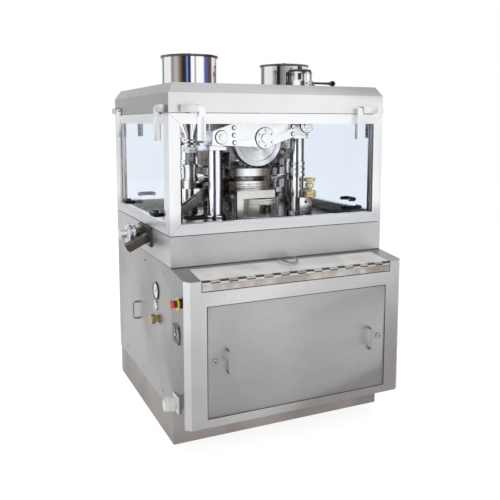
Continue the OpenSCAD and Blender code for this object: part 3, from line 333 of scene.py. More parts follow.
@dataclass(frozen=True)
class Finish:
    """What every finish has: its name, and the material slot of the record that it belongs to."""

    name: str
    slot: str

    def material(self) -> bpy.types.Material:
        """Builds the finish's material once, and gives it again after that.

        Returns:
            The material.
        """
        made = bpy.data.materials.get(self.name)
        if made is None:
            made = bpy.data.materials.new(self.name)
            made.use_nodes = True
            made.node_tree.nodes.clear()
            self.fill(Graph(made.node_tree))
        return made

    def fill(self, graph: Graph) -> None:
        """Fills the material's tree; each kind of finish has its own way."""
        raise NotImplementedError

    @staticmethod
    def coordinates(graph: Graph) -> Socket:
        """The place on the machine, in metres."""
        return graph.add("ShaderNodeTexCoord").outputs["Object"]


@dataclass(frozen=True)
class Steel(Finish):
    """Ground, brushed or rolled metal: two tones that pass softly into each other, a grain and its gloss."""

    light: Colour
    dark: Colour
    roughness: float = 0.32
    stretch: Triple = (60.0, 60.0, 900.0)
    clouds: float = 1.6
    # Painted shade along an axis: its way, and where it starts and ends along it.
    fade: Triple = (0.0, 0.0, 0.0)
    fade_from: float = 0.0
    fade_to: float = 1.0
    grain: float = 0.07
    marks: float = 0.08
    # Painted shade and highlight: for each way that a face may look, the factor on its colour.
    facing: tuple[tuple[Triple, float], ...] = ()
    # Painted shade in crevices: how much the colour darkens where ambient occlusion is low.
    crevice: float = 0.0

    def shade(self, graph: Graph, base: Socket, grain: Socket) -> Socket:
        """Lays over a colour the grain, painted light by face direction and painted shade in crevices.

        Args:
            graph: the material's graph.
            base: the colour's socket.
            grain: the grain's socket.

        Returns:
            The shaded colour's socket.
        """
        level = graph.spread(grain, 0.25, 0.75, 1.0 - self.grain, 1.0 + self.grain)
        # Painted shade and highlight: a face that looks along a listed way takes its factor.
        for way, factor in self.facing:
            normal = graph.add("ShaderNodeTexCoord").outputs["Normal"]
            toward = graph.vector("DOT_PRODUCT", normal, way).outputs["Value"]
            level = graph.maths("MULTIPLY", level, graph.spread(toward, 0.86, 0.96, 1.0, factor))
        # Painted shade in crevices, from ambient occlusion.
        if self.crevice:
            hollow = graph.add("ShaderNodeAmbientOcclusion", {"Distance": 0.05}, samples=6).outputs["AO"]
            level = graph.maths("MULTIPLY", level, graph.spread(hollow, 0.1, 0.9, 1.0 - self.crevice, 1.0))
        return graph.blend(1.0, base, graph.grey(level), "MULTIPLY")

    def tone(self, graph: Graph, place: Socket, grain: Socket) -> Socket:
        """Mixes the two tones by patches and, where it is set, as painted shade along an axis.

        Args:
            graph: the material's graph.
            place: the coordinates' socket.
            grain: the grain's socket.

        Returns:
            The colour's socket.
        """
        cloud = graph.effect(cloud_effect(), {"Vector": place, "Scale": self.clouds})
        share = graph.maths("MULTIPLY", cloud, 0.45 if any(self.fade) else 1.0)
        # Painted shade: more of the dark tone along the set axis, for how the light falls.
        if any(self.fade):
            along = graph.vector("DOT_PRODUCT", place, self.fade).outputs["Value"]
            fade = graph.spread(along, self.fade_from, self.fade_to, 0.0, 0.75)
            share = graph.maths("ADD", share, fade, clamp=True)
        return self.shade(graph, graph.blend(share, srgb(self.light), srgb(self.dark)), grain)

    def fill(self, graph: Graph) -> None:
        """Joins tone, grain and marks in one metal shader.

        Args:
            graph: the material's graph.
        """
        place = self.coordinates(graph)
        grain = graph.effect(grain_effect(), {"Vector": place, "Stretch": self.stretch})
        marks = graph.effect(marks_effect(), {"Vector": place, "Scale": 1.0})
        rough = graph.spread(grain, 0.2, 0.8, self.roughness - 0.05, self.roughness + 0.05)
        rough = graph.maths("ADD", rough, graph.maths("MULTIPLY", marks, self.marks), clamp=True)
        bump = graph.add("ShaderNodeBump", {"Strength": 0.12, "Distance": 0.0003, "Height": grain})
        inputs = {
            "Base Color": self.tone(graph, place, grain),
            "Roughness": rough,
            "Normal": bump.outputs[0],
            "Metallic": 1.0,
        }
        shader = graph.add("ShaderNodeBsdfPrincipled", inputs)
        graph.add("ShaderNodeOutputMaterial", {"Surface": shader.outputs[0]})


@dataclass(frozen=True)
class Streaked(Steel):
    """Polished round metal with painted reflections: bands of highlight and shade at fixed shares across the
    part.
    """

    centre: Triple = (0.0, 0.0, 0.0)
    keep: Triple = (1.0, 1.0, 0.0)
    across: Triple = (0.914, -0.407, 0.0)
    fourfold: bool = False
    sway: float = 0.03
    bands: tuple[tuple[float, Colour], ...] = ()

    def tone(self, graph: Graph, place: Socket, grain: Socket) -> Socket:
        """Colours the part by its painted reflection bands.

        Args:
            graph: the material's graph.
            place: the coordinates' socket.
            grain: the grain's socket.

        Returns:
            The colour's socket.
        """
        centre = self.centre
        if self.fourfold:
            corner = graph.vector("SIGN", place).outputs[0]
            centre = graph.vector("MULTIPLY", corner, self.centre).outputs[0]
        inputs = {
            "Vector": place, "Centre": centre, "Keep": self.keep, "Across": self.across, "Sway": self.sway
        }
        reflection_share = graph.effect(streak_effect(), inputs)
        ramp = graph.add("ShaderNodeValToRGB", {"Fac": reflection_share})
        stops = ramp.color_ramp.elements
        while len(stops) < len(self.bands):
            stops.new(0.5)
        for stop, (position, colour) in zip(stops, self.bands):
            stop.position = position
            stop.color = srgb(colour)
        return self.shade(graph, ramp.outputs[0], grain)


@dataclass(frozen=True)
class Coated(Finish):
    """Plastic, rubber or paint: a base tone with slight patches, a fine texture and its gloss."""

    colour: Colour
    shade: Colour
    roughness: float = 0.3
    texture: float = 300.0
    depth: float = 0.1
    coat: float = 0.0
    specular: float = 0.5

    def fill(self, graph: Graph) -> None:
        """Joins the tones and the texture in one shader.

        Args:
            graph: the material's graph.
        """
        place = self.coordinates(graph)
        cloud = graph.effect(cloud_effect(), {"Vector": place, "Scale": 9.0})
        fine = graph.add(
            "ShaderNodeTexNoise", {"Vector": place, "Scale": self.texture, "Detail": 3.0}
        ).outputs[0]
        bump = graph.add("ShaderNodeBump", {"Strength": self.depth, "Distance": 0.0004, "Height": fine})
        rough = graph.spread(cloud, 0.0, 1.0, self.roughness * 0.85, self.roughness * 1.15)
        inputs = {
            "Base Color": graph.blend(cloud, srgb(self.colour), srgb(self.shade)),
            "Roughness": rough,
            "Normal": bump.outputs[0],
            "Coat Weight": self.coat,
            "Specular IOR Level": self.specular,
        }
        shader = graph.add("ShaderNodeBsdfPrincipled", inputs)
        graph.add("ShaderNodeOutputMaterial", {"Surface": shader.outputs[0]})


@dataclass(frozen=True)
class Pane(Finish):
    """Clear safety glass that lets lamps through."""

    tint: Colour
    smear: Colour

    def fill(self, graph: Graph) -> None:
        """Joins a clear shader with an open one for shadows.

        Args:
            graph: the material's graph.
        """
        place = self.coordinates(graph)
        cloud = graph.effect(cloud_effect(), {"Vector": place, "Scale": 3.0})
        colour = graph.blend(cloud, srgb(self.tint), srgb(self.smear))
        inputs = {
            "Base Color": colour, "Roughness": 0.0, "IOR": 1.1, "Transmission Weight": 1.0, "Metallic": 0.0
        }
        glass = graph.add("ShaderNodeBsdfPrincipled", inputs)
        clear = graph.add("ShaderNodeBsdfTransparent", {"Color": colour})
        lamp = graph.add("ShaderNodeLightPath").outputs["Is Shadow Ray"]
        mixed = graph.add("ShaderNodeMixShader", {0: lamp, 1: glass.outputs[0], 2: clear.outputs[0]})
        graph.add("ShaderNodeOutputMaterial", {"Surface": mixed.outputs[0]})


# Painted reflections: bands of highlight and shade across polished round parts, by share from 0 to 1.
LEFT_REFLECTION_BANDS = (
    (0.0, (58, 42, 52)),
    (0.045, (66, 50, 56)),
    (0.07, (255, 255, 255)),
    (0.19, (255, 255, 255)),
    (0.22, (150, 142, 138)),
    (0.3, (206, 196, 192)),
    (0.38, (120, 106, 102)),
    (0.42, (58, 48, 48)),
    (0.475, (46, 44, 52)),
    (0.49, (110, 134, 190)),
    (0.51, (112, 140, 196)),
    (0.525, (38, 42, 92)),
    (0.555, (48, 46, 62)),
    (0.58, (252, 252, 253)),
    (0.62, (252, 252, 253)),
    (0.645, (150, 144, 148)),
    (0.67, (252, 252, 253)),
    (0.78, (250, 251, 253)),
    (0.81, (76, 96, 156)),
    (0.84, (104, 104, 158)),
    (0.87, (92, 78, 72)),
    (0.915, (104, 86, 74)),
    (0.93, (240, 232, 240)),
    (0.97, (244, 238, 244)),
    (0.985, (150, 132, 122)),
    (1.0, (120, 100, 92)),
)
RIGHT_REFLECTION_BANDS = (
    (0.0, (118, 104, 96)),
    (0.05, (128, 114, 106)),
    (0.08, (250, 250, 251)),
    (0.2, (248, 248, 250)),
    (0.25, (216, 216, 219)),
    (0.31, (196, 195, 198)),
    (0.335, (30, 29, 31)),
    (0.375, (34, 33, 35)),
    (0.4, (120, 118, 120)),
    (0.6, (184, 183, 185)),
    (0.8, (230, 230, 233)),
    (0.95, (240, 240, 243)),
    (1.0, (150, 144, 140)),
)
COLUMN_REFLECTION_BANDS = (
    (0.0, (46, 42, 44)),
    (0.07, (96, 94, 100)),
    (0.12, (252, 252, 252)),
    (0.34, (252, 252, 253)),
    (0.39, (128, 130, 140)),
    (0.46, (62, 62, 72)),
    (0.53, (92, 92, 102)),
    (0.58, (250, 250, 252)),
    (0.78, (250, 250, 252)),
    (0.84, (116, 112, 114)),
    (0.92, (48, 43, 42)),
    (1.0, (60, 55, 54)),
)
PIPE_REFLECTION_BANDS = (
    (0.0, (52, 44, 42)),
    (0.12, (120, 114, 112)),
    (0.22, (252, 252, 252)),
    (0.42, (252, 252, 252)),
    (0.5, (150, 142, 138)),
    (0.6, (62, 53, 49)),
    (0.7, (88, 78, 72)),
    (0.8, (240, 240, 240)),
    (0.9, (200, 198, 198)),
    (1.0, (60, 52, 50)),
)
RING_REFLECTION_BANDS = (
    (0.0, (58, 51, 48)),
    (0.12, (108, 98, 92)),
    (0.2, (228, 228, 229)),
    (0.26, (252, 252, 252)),
    (0.33, (104, 93, 87)),
    (0.45, (66, 58, 54)),
    (0.5, (190, 188, 188)),
    (0.56, (252, 252, 253)),
    (0.66, (244, 245, 247)),
    (0.74, (126, 116, 110)),
    (0.84, (72, 63, 58)),
    (0.92, (214, 212, 212)),
    (1.0, (90, 82, 78)),
)
DISC_REFLECTION_BANDS = (
    (0.0, (196, 196, 199)),
    (0.3, (232, 233, 236)),
    (0.5, (190, 190, 194)),
    (0.72, (240, 241, 244)),
    (1.0, (206, 206, 209)),
)


class Look(Enum):
    """The finishes of this machine, each by the parts that wear it."""

    # Painted shade: darker towards the top and right, and darker on sides and slopes by the way they face.
    HOOD = Steel(
        "satin hood steel", "polished_steel", (250, 249, 249), (198, 196, 199), 0.34, (900, 900, 40), 1.1,
        (0.1, 0.0, 1.0), 1.69, 1.79, marks=0.03, facing=(
            ((-1.0, 0.0, 0.0), 0.45), ((1.0, 0.0, 0.0), 0.6), ((0.0, -0.84, 0.54), 0.73),
            ((0.0, 0.84, 0.54), 0.73), ((-0.84, 0.0, 0.54), 0.52), ((0.84, 0.0, 0.54), 0.55),
        ),
    )
    # Painted shade: darker along the bottom rail, and slightly darker on faces that look left.
    DOOR_FRAME = Steel(
        "door frame steel", "polished_steel", (251, 252, 253), (198, 200, 204), 0.3, (80, 80, 80), 0.8,
        (0.0, 0.0, -1.0), -1.15, -1.06, grain=0.02, marks=0.0, facing=(((-1.0, 0.0, 0.0), 0.86),),
    )
    SIDE_PANEL = Steel(
        "rolled side panel", "brushed_panel", (168, 166, 166), (142, 140, 139), 0.36, (700, 700, 30), 1.9
    )
    BAND = Steel(
        "deck band steel", "brushed_panel", (192, 190, 190), (170, 168, 168), 0.34, (40, 40, 800), 1.5
    )
    # Painted shade towards the right and bottom, on the left side and on the top; painted highlight on
    # front-left faces.
    CONSOLE = Steel(
        "console steel", "brushed_panel", (212, 212, 213), (138, 135, 134), 0.34, (500, 500, 30), 1.3,
        (0.3, 0.0, -0.95), -0.86, 0.1,
        facing=(((-1.0, 0.0, 0.0), 0.48), ((0.0, -0.2, 0.98), 0.7), ((-0.71, -0.71, 0.0), 1.3)),
    )
    # Painted shade: darker towards the bottom and the left.
    CONSOLE_DOOR = Steel(
        "console door steel", "brushed_panel", (186, 184, 184), (156, 154, 155), 0.46, (24, 24, 700), 1.7,
        (-0.2, 0.0, -1.0), -0.7, -0.2,
    )
    LID = Coated("bright lid steel", "polished_steel", (226, 226, 223), (208, 207, 204), 0.35, 90.0, 0.02)
    STRIP = Steel("hinge strip", "brushed_panel", (196, 190, 186), (150, 141, 135), 0.3, (30, 500, 500), 9.0)
    PLINTH = Steel("plinth steel", "plinth_steel", (156, 150, 147), (128, 122, 119), 0.42, (30, 30, 500), 2.2)
    DECK = Steel("deck plate", "polished_steel", (106, 94, 87), (80, 70, 64), 0.24, (20, 300, 300), 2.4)
    FRAME_TUBE = Coated("frame paint", "frame_steel", (108, 112, 116), (98, 102, 106), 0.45, 500.0, 0.15)
    BRIGHT = Steel(
        "bright fittings", "bright_fittings", (226, 226, 228), (176, 175, 177), 0.2, (60, 60, 400), 7.0
    )
    # Painted shade in crevices.
    HINGE = Steel(
        "hinge steel", "bright_fittings", (240, 240, 241), (186, 184, 184), 0.24, (60, 60, 400), 9.0,
        crevice=0.8,
    )
    YOKE = Steel(
        "yoke plate", "white_plate", (252, 252, 252), (246, 246, 247), 0.24, (60, 60, 400), 2.0, marks=0.0
    )
    DARK = Steel("dark steel", "dark_steel", (104, 103, 101), (70, 68, 67), 0.33, (60, 60, 500), 5.0)
    # Painted shade in crevices.
    CHUTE = Steel(
        "chute steel", "dark_steel", (128, 123, 116), (92, 88, 83), 0.3, (60, 400, 60), 7.0, crevice=0.6
    )
    IRON = Coated("dark iron", "dark_steel", (62, 57, 62), (44, 41, 44), 0.3, 400.0, 0.03)
    # Painted shade in crevices.
    PULL = Steel(
        "drawn pull", "bright_fittings", (178, 176, 173), (156, 153, 150), 0.25, (60, 60, 400), 5.0,
        crevice=0.85,
    )
    # Painted reflections: bands of highlight and shade round the stand, and painted shade in crevices.
    STAND = Streaked(
        "polished stand", "bright_fittings", (0, 0, 0), (0, 0, 0), 0.16, (60, 60, 400), sway=0.16,
        centre=(0.336, -0.08, 0.0), bands=PIPE_REFLECTION_BANDS, crevice=0.8,
    )
    # Painted shade in crevices.
    CAM = Steel(
        "cam steel", "dark_steel", (140, 131, 124), (66, 59, 55), 0.26, (60, 60, 400), 6.0, crevice=0.8
    )
    # Painted shade in crevices.
    SHAFT = Steel(
        "ground shaft", "shaft_steel", (206, 206, 210), (134, 132, 134), 0.22, (60, 60, 500), 6.0,
        crevice=0.85,
    )
    # Painted shade in crevices.
    HOUSING = Steel(
        "turned housing", "turret_steel", (244, 241, 234), (200, 195, 187), 0.22, (60, 60, 600), 3.0,
        crevice=0.8,
    )
    # Painted reflections: bands of highlight and shade round the turret's rings, and painted shade in
    # crevices.
    TURRET = Streaked(
        "turned turret", "turret_steel", (0, 0, 0), (0, 0, 0), 0.2, (40, 40, 700), bands=RING_REFLECTION_BANDS,
        crevice=0.8,
    )
    # Painted reflections: bands of highlight, shade and blue across the left hopper's mirror.
    HOPPER_LEFT = Streaked(
        "mirror of the left hopper", "mirror_steel", (0, 0, 0), (0, 0, 0), 0.08, (300, 300, 10), grain=0.02,
        marks=0.04, centre=(-0.352, -0.145, 0.0), sway=0.006, bands=LEFT_REFLECTION_BANDS,
    )
    # Painted reflections: bands of highlight and shade across the right hopper's mirror.
    HOPPER_RIGHT = Streaked(
        "mirror of the right hopper", "mirror_steel", (0, 0, 0), (0, 0, 0), 0.08, (300, 300, 10), grain=0.02,
        marks=0.04, centre=(0.352, 0.145, 0.0), sway=0.006, bands=RIGHT_REFLECTION_BANDS,
    )
    # Painted reflections: bands of highlight and shade down each column, and painted shade in crevices.
    COLUMN = Streaked(
        "polished column", "bright_fittings", (0, 0, 0), (0, 0, 0), 0.12, (300, 300, 10), grain=0.02,
        marks=0.04, centre=(0.243, 0.225, 0.0), fourfold=True, bands=COLUMN_REFLECTION_BANDS, crevice=0.6,
    )
    # Painted reflections: soft bands of highlight and shade across the upper rollers' faces.
    ROLLER = Streaked(
        "ground roller face", "shaft_steel", (0, 0, 0), (0, 0, 0), 0.28, (200, 200, 200),
        centre=(0.0, 0.0, 1.455), keep=(1.0, 0.0, 1.0), across=(0.8, 0.0, 0.6), bands=DISC_REFLECTION_BANDS,
    )
    # Painted reflections: soft bands of highlight and shade across the lower rollers' faces.
    LOWER_ROLLER = Streaked(
        "lower roller face", "shaft_steel", (0, 0, 0), (0, 0, 0), 0.28, (200, 200, 200),
        centre=(0.0, 0.0, 1.1004), keep=(1.0, 0.0, 1.0), across=(0.8, 0.0, 0.6), bands=DISC_REFLECTION_BANDS,
    )
    # Painted reflections: bands of highlight and shade round the feed pipes, and painted shade in crevices.
    FEED = Streaked(
        "polished feed pipe", "bright_fittings", (0, 0, 0), (0, 0, 0), 0.16, (60, 60, 400), sway=0.12,
        centre=(0.352, 0.145, 0.0), fourfold=True, bands=PIPE_REFLECTION_BANDS, crevice=0.8,
    )
    # Painted reflections: soft bands of highlight and shade across the dial.
    DIAL = Streaked(
        "dial face", "bright_fittings", (0, 0, 0), (0, 0, 0), 0.3, (200, 200, 200),
        centre=(0.0, -0.058, 0.969), keep=(0.0, 1.0, 1.0), across=(0.0, 0.8, 0.6), bands=DISC_REFLECTION_BANDS,
    )
    GLASS = Pane("door glass", "door_glass", (252, 253, 254), (250, 252, 254))
    # The same door glass with a painted blue-grey tint, for the dimmed look of the far panes seen through the
    # near ones.
    FAR_GLASS = Pane("blue-grey door glass", "door_glass", (232, 239, 248), (229, 237, 247))
    BLACK = Coated("black pull", "black_plastic", (9, 9, 10), (5, 5, 6), 0.35, 400.0, 0.03, specular=0.14)
    INK = Coated("dark gap", "black_plastic", (30, 26, 24), (20, 17, 16), 0.5, 400.0, 0.03, specular=0.2)
    RUBBER = Coated("belt rubber", "belt_rubber", (38, 38, 38), (28, 28, 28), 0.75, 900.0, 0.5)
    WHITE = Coated("white nylon", "white_plastic", (238, 239, 234), (226, 226, 220), 0.32, 500.0, 0.05)
    DIAL_WHITE = Coated(
        "white gauge face", "white_plastic", (246, 246, 244), (240, 240, 238), 0.3, 500.0, 0.03
    )
    RED = Coated("red button", "red_plastic", (226, 62, 36), (206, 46, 28), 0.25, 400.0, 0.03, 0.4)
    YELLOW = Coated("yellow ring", "red_plastic", (238, 220, 34), (226, 204, 24), 0.35, 400.0, 0.05)
    COLLAR = Coated("dark blue collar", "red_plastic", (52, 48, 96), (40, 38, 74), 0.35, 400.0, 0.05)
    MOTOR = Coated("motor paint", "motor_paint", (78, 104, 128), (68, 92, 116), 0.4, 500.0, 0.2)
    CAST = Coated("cast iron paint", "cast_parts", (132, 138, 140), (118, 124, 127), 0.5, 250.0, 0.4)
    BRONZE = Steel("wheel bronze", "wheel_bronze", (198, 162, 104), (158, 120, 68), 0.3, (200, 200, 400), 5.0)
    BRASS = Steel("knob brass", "knob_brass", (222, 202, 160), (170, 146, 106), 0.26, (300, 300, 300), 9.0)
    CREAM = Steel("cream brass", "knob_brass", (232, 222, 192), (204, 190, 152), 0.28, (300, 300, 300), 9.0)

    def material(self) -> bpy.types.Material:
        """The finish's material."""
        return self.value.material()


# ---------------------------------------------------------------- meshes


class Axis(Enum):
    """Which way a turned or extruded shape runs."""

    X = Matrix(((0, 0, 1), (1, 0, 0), (0, 1, 0))).to_4x4()
    Y = Matrix(((0, 1, 0), (0, 0, 1), (1, 0, 0))).to_4x4()
    Z = Matrix.Identity(4)


def eased(profile: Profile, radius: float, closed: bool = True, steps: int = 3) -> Profile:
    """Rounds a profile's corners.

    Args:
        profile: the corners in order.
        radius: how far from a corner its arc starts, at most a third of the shorter side.
        closed: whether the last corner joins the first.
        steps: points on each arc, less one.

    Returns:
        The rounded profile.
    """
    rounded: Profile = []
    count = len(profile)
    for index, (x, y) in enumerate(profile):
        if not closed and index in (0, count - 1):
            rounded.append((x, y))
            continue
        corner = Vector((x, y))
        before = Vector(profile[index - 1]) - corner
        after = Vector(profile[(index + 1) % count]) - corner
        reach = min(radius, before.length / 3, after.length / 3)
        start = corner + before.normalized() * reach
        end = corner + after.normalized() * reach
        for step in range(steps + 1):
            share = step / steps
            point = start.lerp(corner, share).lerp(corner.lerp(end, share), share)
            rounded.append((point.x, point.y))
    return rounded


def around(
    centre: Sequence[float], radius: float, count: int, phase: float = 0.0, axis: Axis = Axis.Z
) -> list[Vector]:
    """Spaces points evenly round a circle.

    Args:
        centre: the circle's centre.
        radius: its radius.
        count: how many points.
        phase: turn of the first point, in degrees.
        axis: what the circle lies round.

    Returns:
        The points in order.
    """
    turn = axis.value.to_3x3()
    points = []
    for step in range(count):
        angle = math.radians(phase) + 2 * math.pi * step / count
        points.append(Vector(centre) + turn @ Vector((radius * math.cos(angle), radius * math.sin(angle), 0)))
    return points


def smooth_path(points: Sequence[Triple], steps: int = 6) -> list[Vector]:
    """Runs a smooth line through points.

    Args:
        points: the points in order.
        steps: pieces between two points.

    Returns:
        The points of the line.
    """
    knots = [Vector(p) for p in points]
    line = []
    for i in range(len(knots) - 1):
        a, b, c, d = knots[max(i - 1, 0)], knots[i], knots[i + 1], knots[min(i + 2, len(knots) - 1)]
        for step in range(steps):
            t = step / steps
            turned = 2 * b + (c - a) * t + (2 * a - 5 * b + 4 * c - d) * t * t
            line.append(0.5 * (turned + (3 * b - a - 3 * c + d) * t**3))
    line.append(knots[-1])
    return line


def cornered_path(points: Sequence[Triple], bend: float, steps: int = 5) -> list[Vector]:
    """Runs straight lines between points with rounded bends.

    Args:
        points: the corners in order.
        bend: distance from a corner at which its bend starts.
        steps: pieces of each bend.

    Returns:
        The points of the line.
    """
    knots = [Vector(p) for p in points]
    line = [knots[0]]
    for before, corner, after in zip(knots, knots[1:], knots[2:]):
        start = corner + (before - corner).normalized() * bend
        end = corner + (after - corner).normalized() * bend
        for step in range(steps + 1):
            t = step / steps
            line.append(start.lerp(corner, t).lerp(corner.lerp(end, t), t))
    line.append(knots[-1])
    return line


class Solid:
    """A mesh in the making. Sizes and places are millimetres in the machine's frame."""

    def __init__(self) -> None:
        """Starts empty."""
        self.bm = bmesh.new()

    def block(self, low: Triple, high: Triple, round_by: float = 0.0, turn: Matrix | None = None) -> Solid:
        """Adds a box with rounded edges.

        Args:
            low: the lowest corner.
            high: the highest corner.
            round_by: radius of the edges.
            turn: where the box is put after it is made.

        Returns:
            The solid.
        """
        size = Vector(high) - Vector(low)
        middle = (Vector(high) + Vector(low)) / 2
        place = Matrix.Translation(middle) @ Matrix.Diagonal((*size, 1.0))
        made = bmesh.ops.create_cube(self.bm, size=1.0, matrix=(turn or Matrix.Identity(4)) @ place)
        if round_by:
            edges = list({edge for vert in made["verts"] for edge in vert.link_edges})
            bmesh.ops.bevel(
                self.bm, geom=edges, offset=round_by, segments=2, profile=0.5, affect="EDGES",
                clamp_overlap=True
            )
        return self

    def turned(
        self, profile: Profile, centre: Triple = (0, 0, 0), axis: Axis = Axis.Z, segments: int = 96
    ) -> Solid:
        """Adds a shape turned about an axis.

        Args:
            profile: radius and height of each corner, in order round the section; a radius of 0 is a pole.
            centre: the point that height 0 lies at.
            axis: the axis.
            segments: how many sides the round has.

        Returns:
            The solid.
        """
        place = Matrix.Translation(centre) @ axis.value
        rings = []
        for radius, height in profile:
            if radius < 1e-6:
                rings.append([self.bm.verts.new(place @ Vector((0, 0, height)))])
                continue
            ring = []
            for side in range(segments):
                angle = 2 * math.pi * side / segments
                spot = Vector((radius * math.cos(angle), radius * math.sin(angle), height))
                ring.append(self.bm.verts.new(place @ spot))
            rings.append(ring)
        faces = []
        hollow = all(len(ring) > 1 for ring in rings)
        pairs = list(zip(rings, rings[1:])) + ([(rings[-1], rings[0])] if hollow else [])
        for lower, upper in pairs:
            for side in range(segments):
                after = (side + 1) % segments
                corners = [lower[side % len(lower)], lower[after % len(lower)]]
                corners += [upper[after % len(upper)], upper[side % len(upper)]]
                unique = list(dict.fromkeys(corners))
                if len(unique) > 2:
                    faces.append(self.bm.faces.new(unique))
        bmesh.ops.recalc_face_normals(self.bm, faces=faces)
        return self

    def rod(
        self, path: Sequence[Vector], radius: float | Sequence[float], sides: int = 14, closed: bool = False
    ) -> Solid:
        """Adds a round bar along a path.

        Args:
            path: points of the centre line.
            radius: the bar's radius, or one for each point.
            sides: how many sides the bar has.
            closed: whether the end joins the start.

        Returns:
            The solid.
        """
        count = len(path)
        radii = [radius] * count if isinstance(radius, (int, float)) else list(radius)
        rings = []
        across = None
        for index, point in enumerate(path):
            ahead = path[(index + 1) % count] if closed or index < count - 1 else point
            behind = path[index - 1] if closed or index else point
            along = (ahead - behind).normalized()
            if across is None:
                across = along.orthogonal().normalized()
            across = (across - along * across.dot(along)).normalized()
            other = along.cross(across)
            ring = []
            for side in range(sides):
                angle = 2 * math.pi * side / sides
                spot = point + (across * math.cos(angle) + other * math.sin(angle)) * radii[index]
                ring.append(self.bm.verts.new(spot))
            rings.append(ring)
        faces = []
        pairs = list(zip(rings, rings[1:])) + ([(rings[-1], rings[0])] if closed else [])
        for lower, upper in pairs:
            for side in range(sides):
                after = (side + 1) % sides
                faces.append(self.bm.faces.new((lower[side], lower[after], upper[after], upper[side])))
        if not closed:
            faces.append(self.bm.faces.new(rings[0]))
            faces.append(self.bm.faces.new(rings[-1]))
        bmesh.ops.recalc_face_normals(self.bm, faces=faces)
        return self

    def plate(self, outline: Profile, axis: Axis, start: float, end: float, round_by: float = 0.0) -> Solid:
        """Adds a flat outline given a thickness.

        Args:
            outline: the corners in order, in the plane across the axis.
            axis: the way the thickness runs.
            start: where the thickness starts.
            end: where it ends.
            round_by: radius of the edges.

        Returns:
            The solid.
        """
        place = axis.value
        lower = [self.bm.verts.new(place @ Vector((x, y, start))) for x, y in outline]
        upper = [self.bm.verts.new(place @ Vector((x, y, end))) for x, y in outline]
        faces = [self.bm.faces.new(lower), self.bm.faces.new(upper)]
        for index in range(len(outline)):
            after = (index + 1) % len(outline)
            faces.append(self.bm.faces.new((lower[index], lower[after], upper[after], upper[index])))
        bmesh.ops.recalc_face_normals(self.bm, faces=faces)
        if round_by:
            edges = list({edge for face in faces for edge in face.edges})
            bmesh.ops.bevel(
                self.bm, geom=edges, offset=round_by, segments=2, profile=0.5, affect="EDGES",
                clamp_overlap=True
            )
        return self

    def moved(self, matrix: Matrix) -> Solid:
        """Moves all that is made so far."""
        bmesh.ops.transform(self.bm, matrix=matrix, verts=self.bm.verts)
        return self

    def mesh(self, name: str, crease: float = 35.0) -> Mesh:
        """Ends the making.

        Args:
            name: the mesh's name.
            crease: angle in degrees above which an edge stays sharp.

        Returns:
            The mesh, in metres.
        """
        bmesh.ops.scale(self.bm, vec=(MM, MM, MM), verts=self.bm.verts)
        mesh = bpy.data.meshes.new(name)
        self.bm.to_mesh(mesh)
        self.bm.free()
        mesh.shade_smooth()
        mesh.set_sharp_from_angle(angle=math.radians(crease))
        return mesh


# ---------------------------------------------------------------- repeated parts, by geometry nodes


class Pattern(Enum):
    """The ways in which a small part repeats."""

    RING = "parts round an axis"
    ROW = "parts in a row"
    FIELD = "parts on given points"


def finish_tree(graph: Graph, placed: Socket, entry: bpy.types.Node) -> bpy.types.NodeTree:
    """Ends a tree with real geometry that wears its finish.

    Args:
        graph: the tree's graph.
        placed: the socket of what has been placed.
        entry: the tree's inputs.

    Returns:
        The finished tree.
    """
    real = graph.add("GeometryNodeRealizeInstances", {"Geometry": placed}).outputs[0]
    dressed = graph.add("GeometryNodeSetMaterial", {"Geometry": real, "Material": entry.outputs["Finish"]})
    graph.add("NodeGroupOutput", {0: dressed.outputs[0]})
    return graph.tree


def ring_tree() -> bpy.types.NodeTree:
    """Copies the part that it is put on round a circle; the part is drawn at the origin and faces +X.

    Returns:
        The tree.
    """
    sockets = [
        ("Part", "NodeSocketGeometry", None),
        ("Count", "NodeSocketInt", 12),
        ("Radius", "NodeSocketFloat", 0.1),
        ("Phase", "NodeSocketFloat", 0.0),
        ("Tilt", "NodeSocketVector", (0.0, 0.0, 0.0)),
        ("Centre", "NodeSocketVector", (0.0, 0.0, 0.0)),
        ("Finish", "NodeSocketMaterial", None),
    ]
    graph = open_group(Pattern.RING.value, "GeometryNodeTree", sockets, [("Result", "NodeSocketGeometry")])
    entry = graph.add("NodeGroupInput")
    inputs = {"Vertices": entry.outputs["Count"], "Radius": entry.outputs["Radius"]}
    circle = graph.add("GeometryNodeMeshCircle", inputs).outputs[0]
    step = graph.maths("DIVIDE", 2 * math.pi, entry.outputs["Count"])
    angle = graph.maths("MULTIPLY", graph.add("GeometryNodeInputIndex").outputs[0], step)
    turn = graph.add("ShaderNodeCombineXYZ", {"Z": angle}).outputs[0]
    turn = graph.add("FunctionNodeEulerToRotation", {0: turn}).outputs[0]
    inputs = {"Points": circle, "Instance": entry.outputs["Part"], "Rotation": turn}
    placed = graph.add("GeometryNodeInstanceOnPoints", inputs).outputs[0]
    phase = graph.add("ShaderNodeCombineXYZ", {"Z": entry.outputs["Phase"]}).outputs[0]
    turned = graph.add("GeometryNodeTransform", {"Geometry": placed, "Rotation": phase}).outputs[0]
    inputs = {"Geometry": turned, "Rotation": entry.outputs["Tilt"], "Translation": entry.outputs["Centre"]}
    tilted = graph.add("GeometryNodeTransform", inputs).outputs[0]
    return finish_tree(graph, tilted, entry)


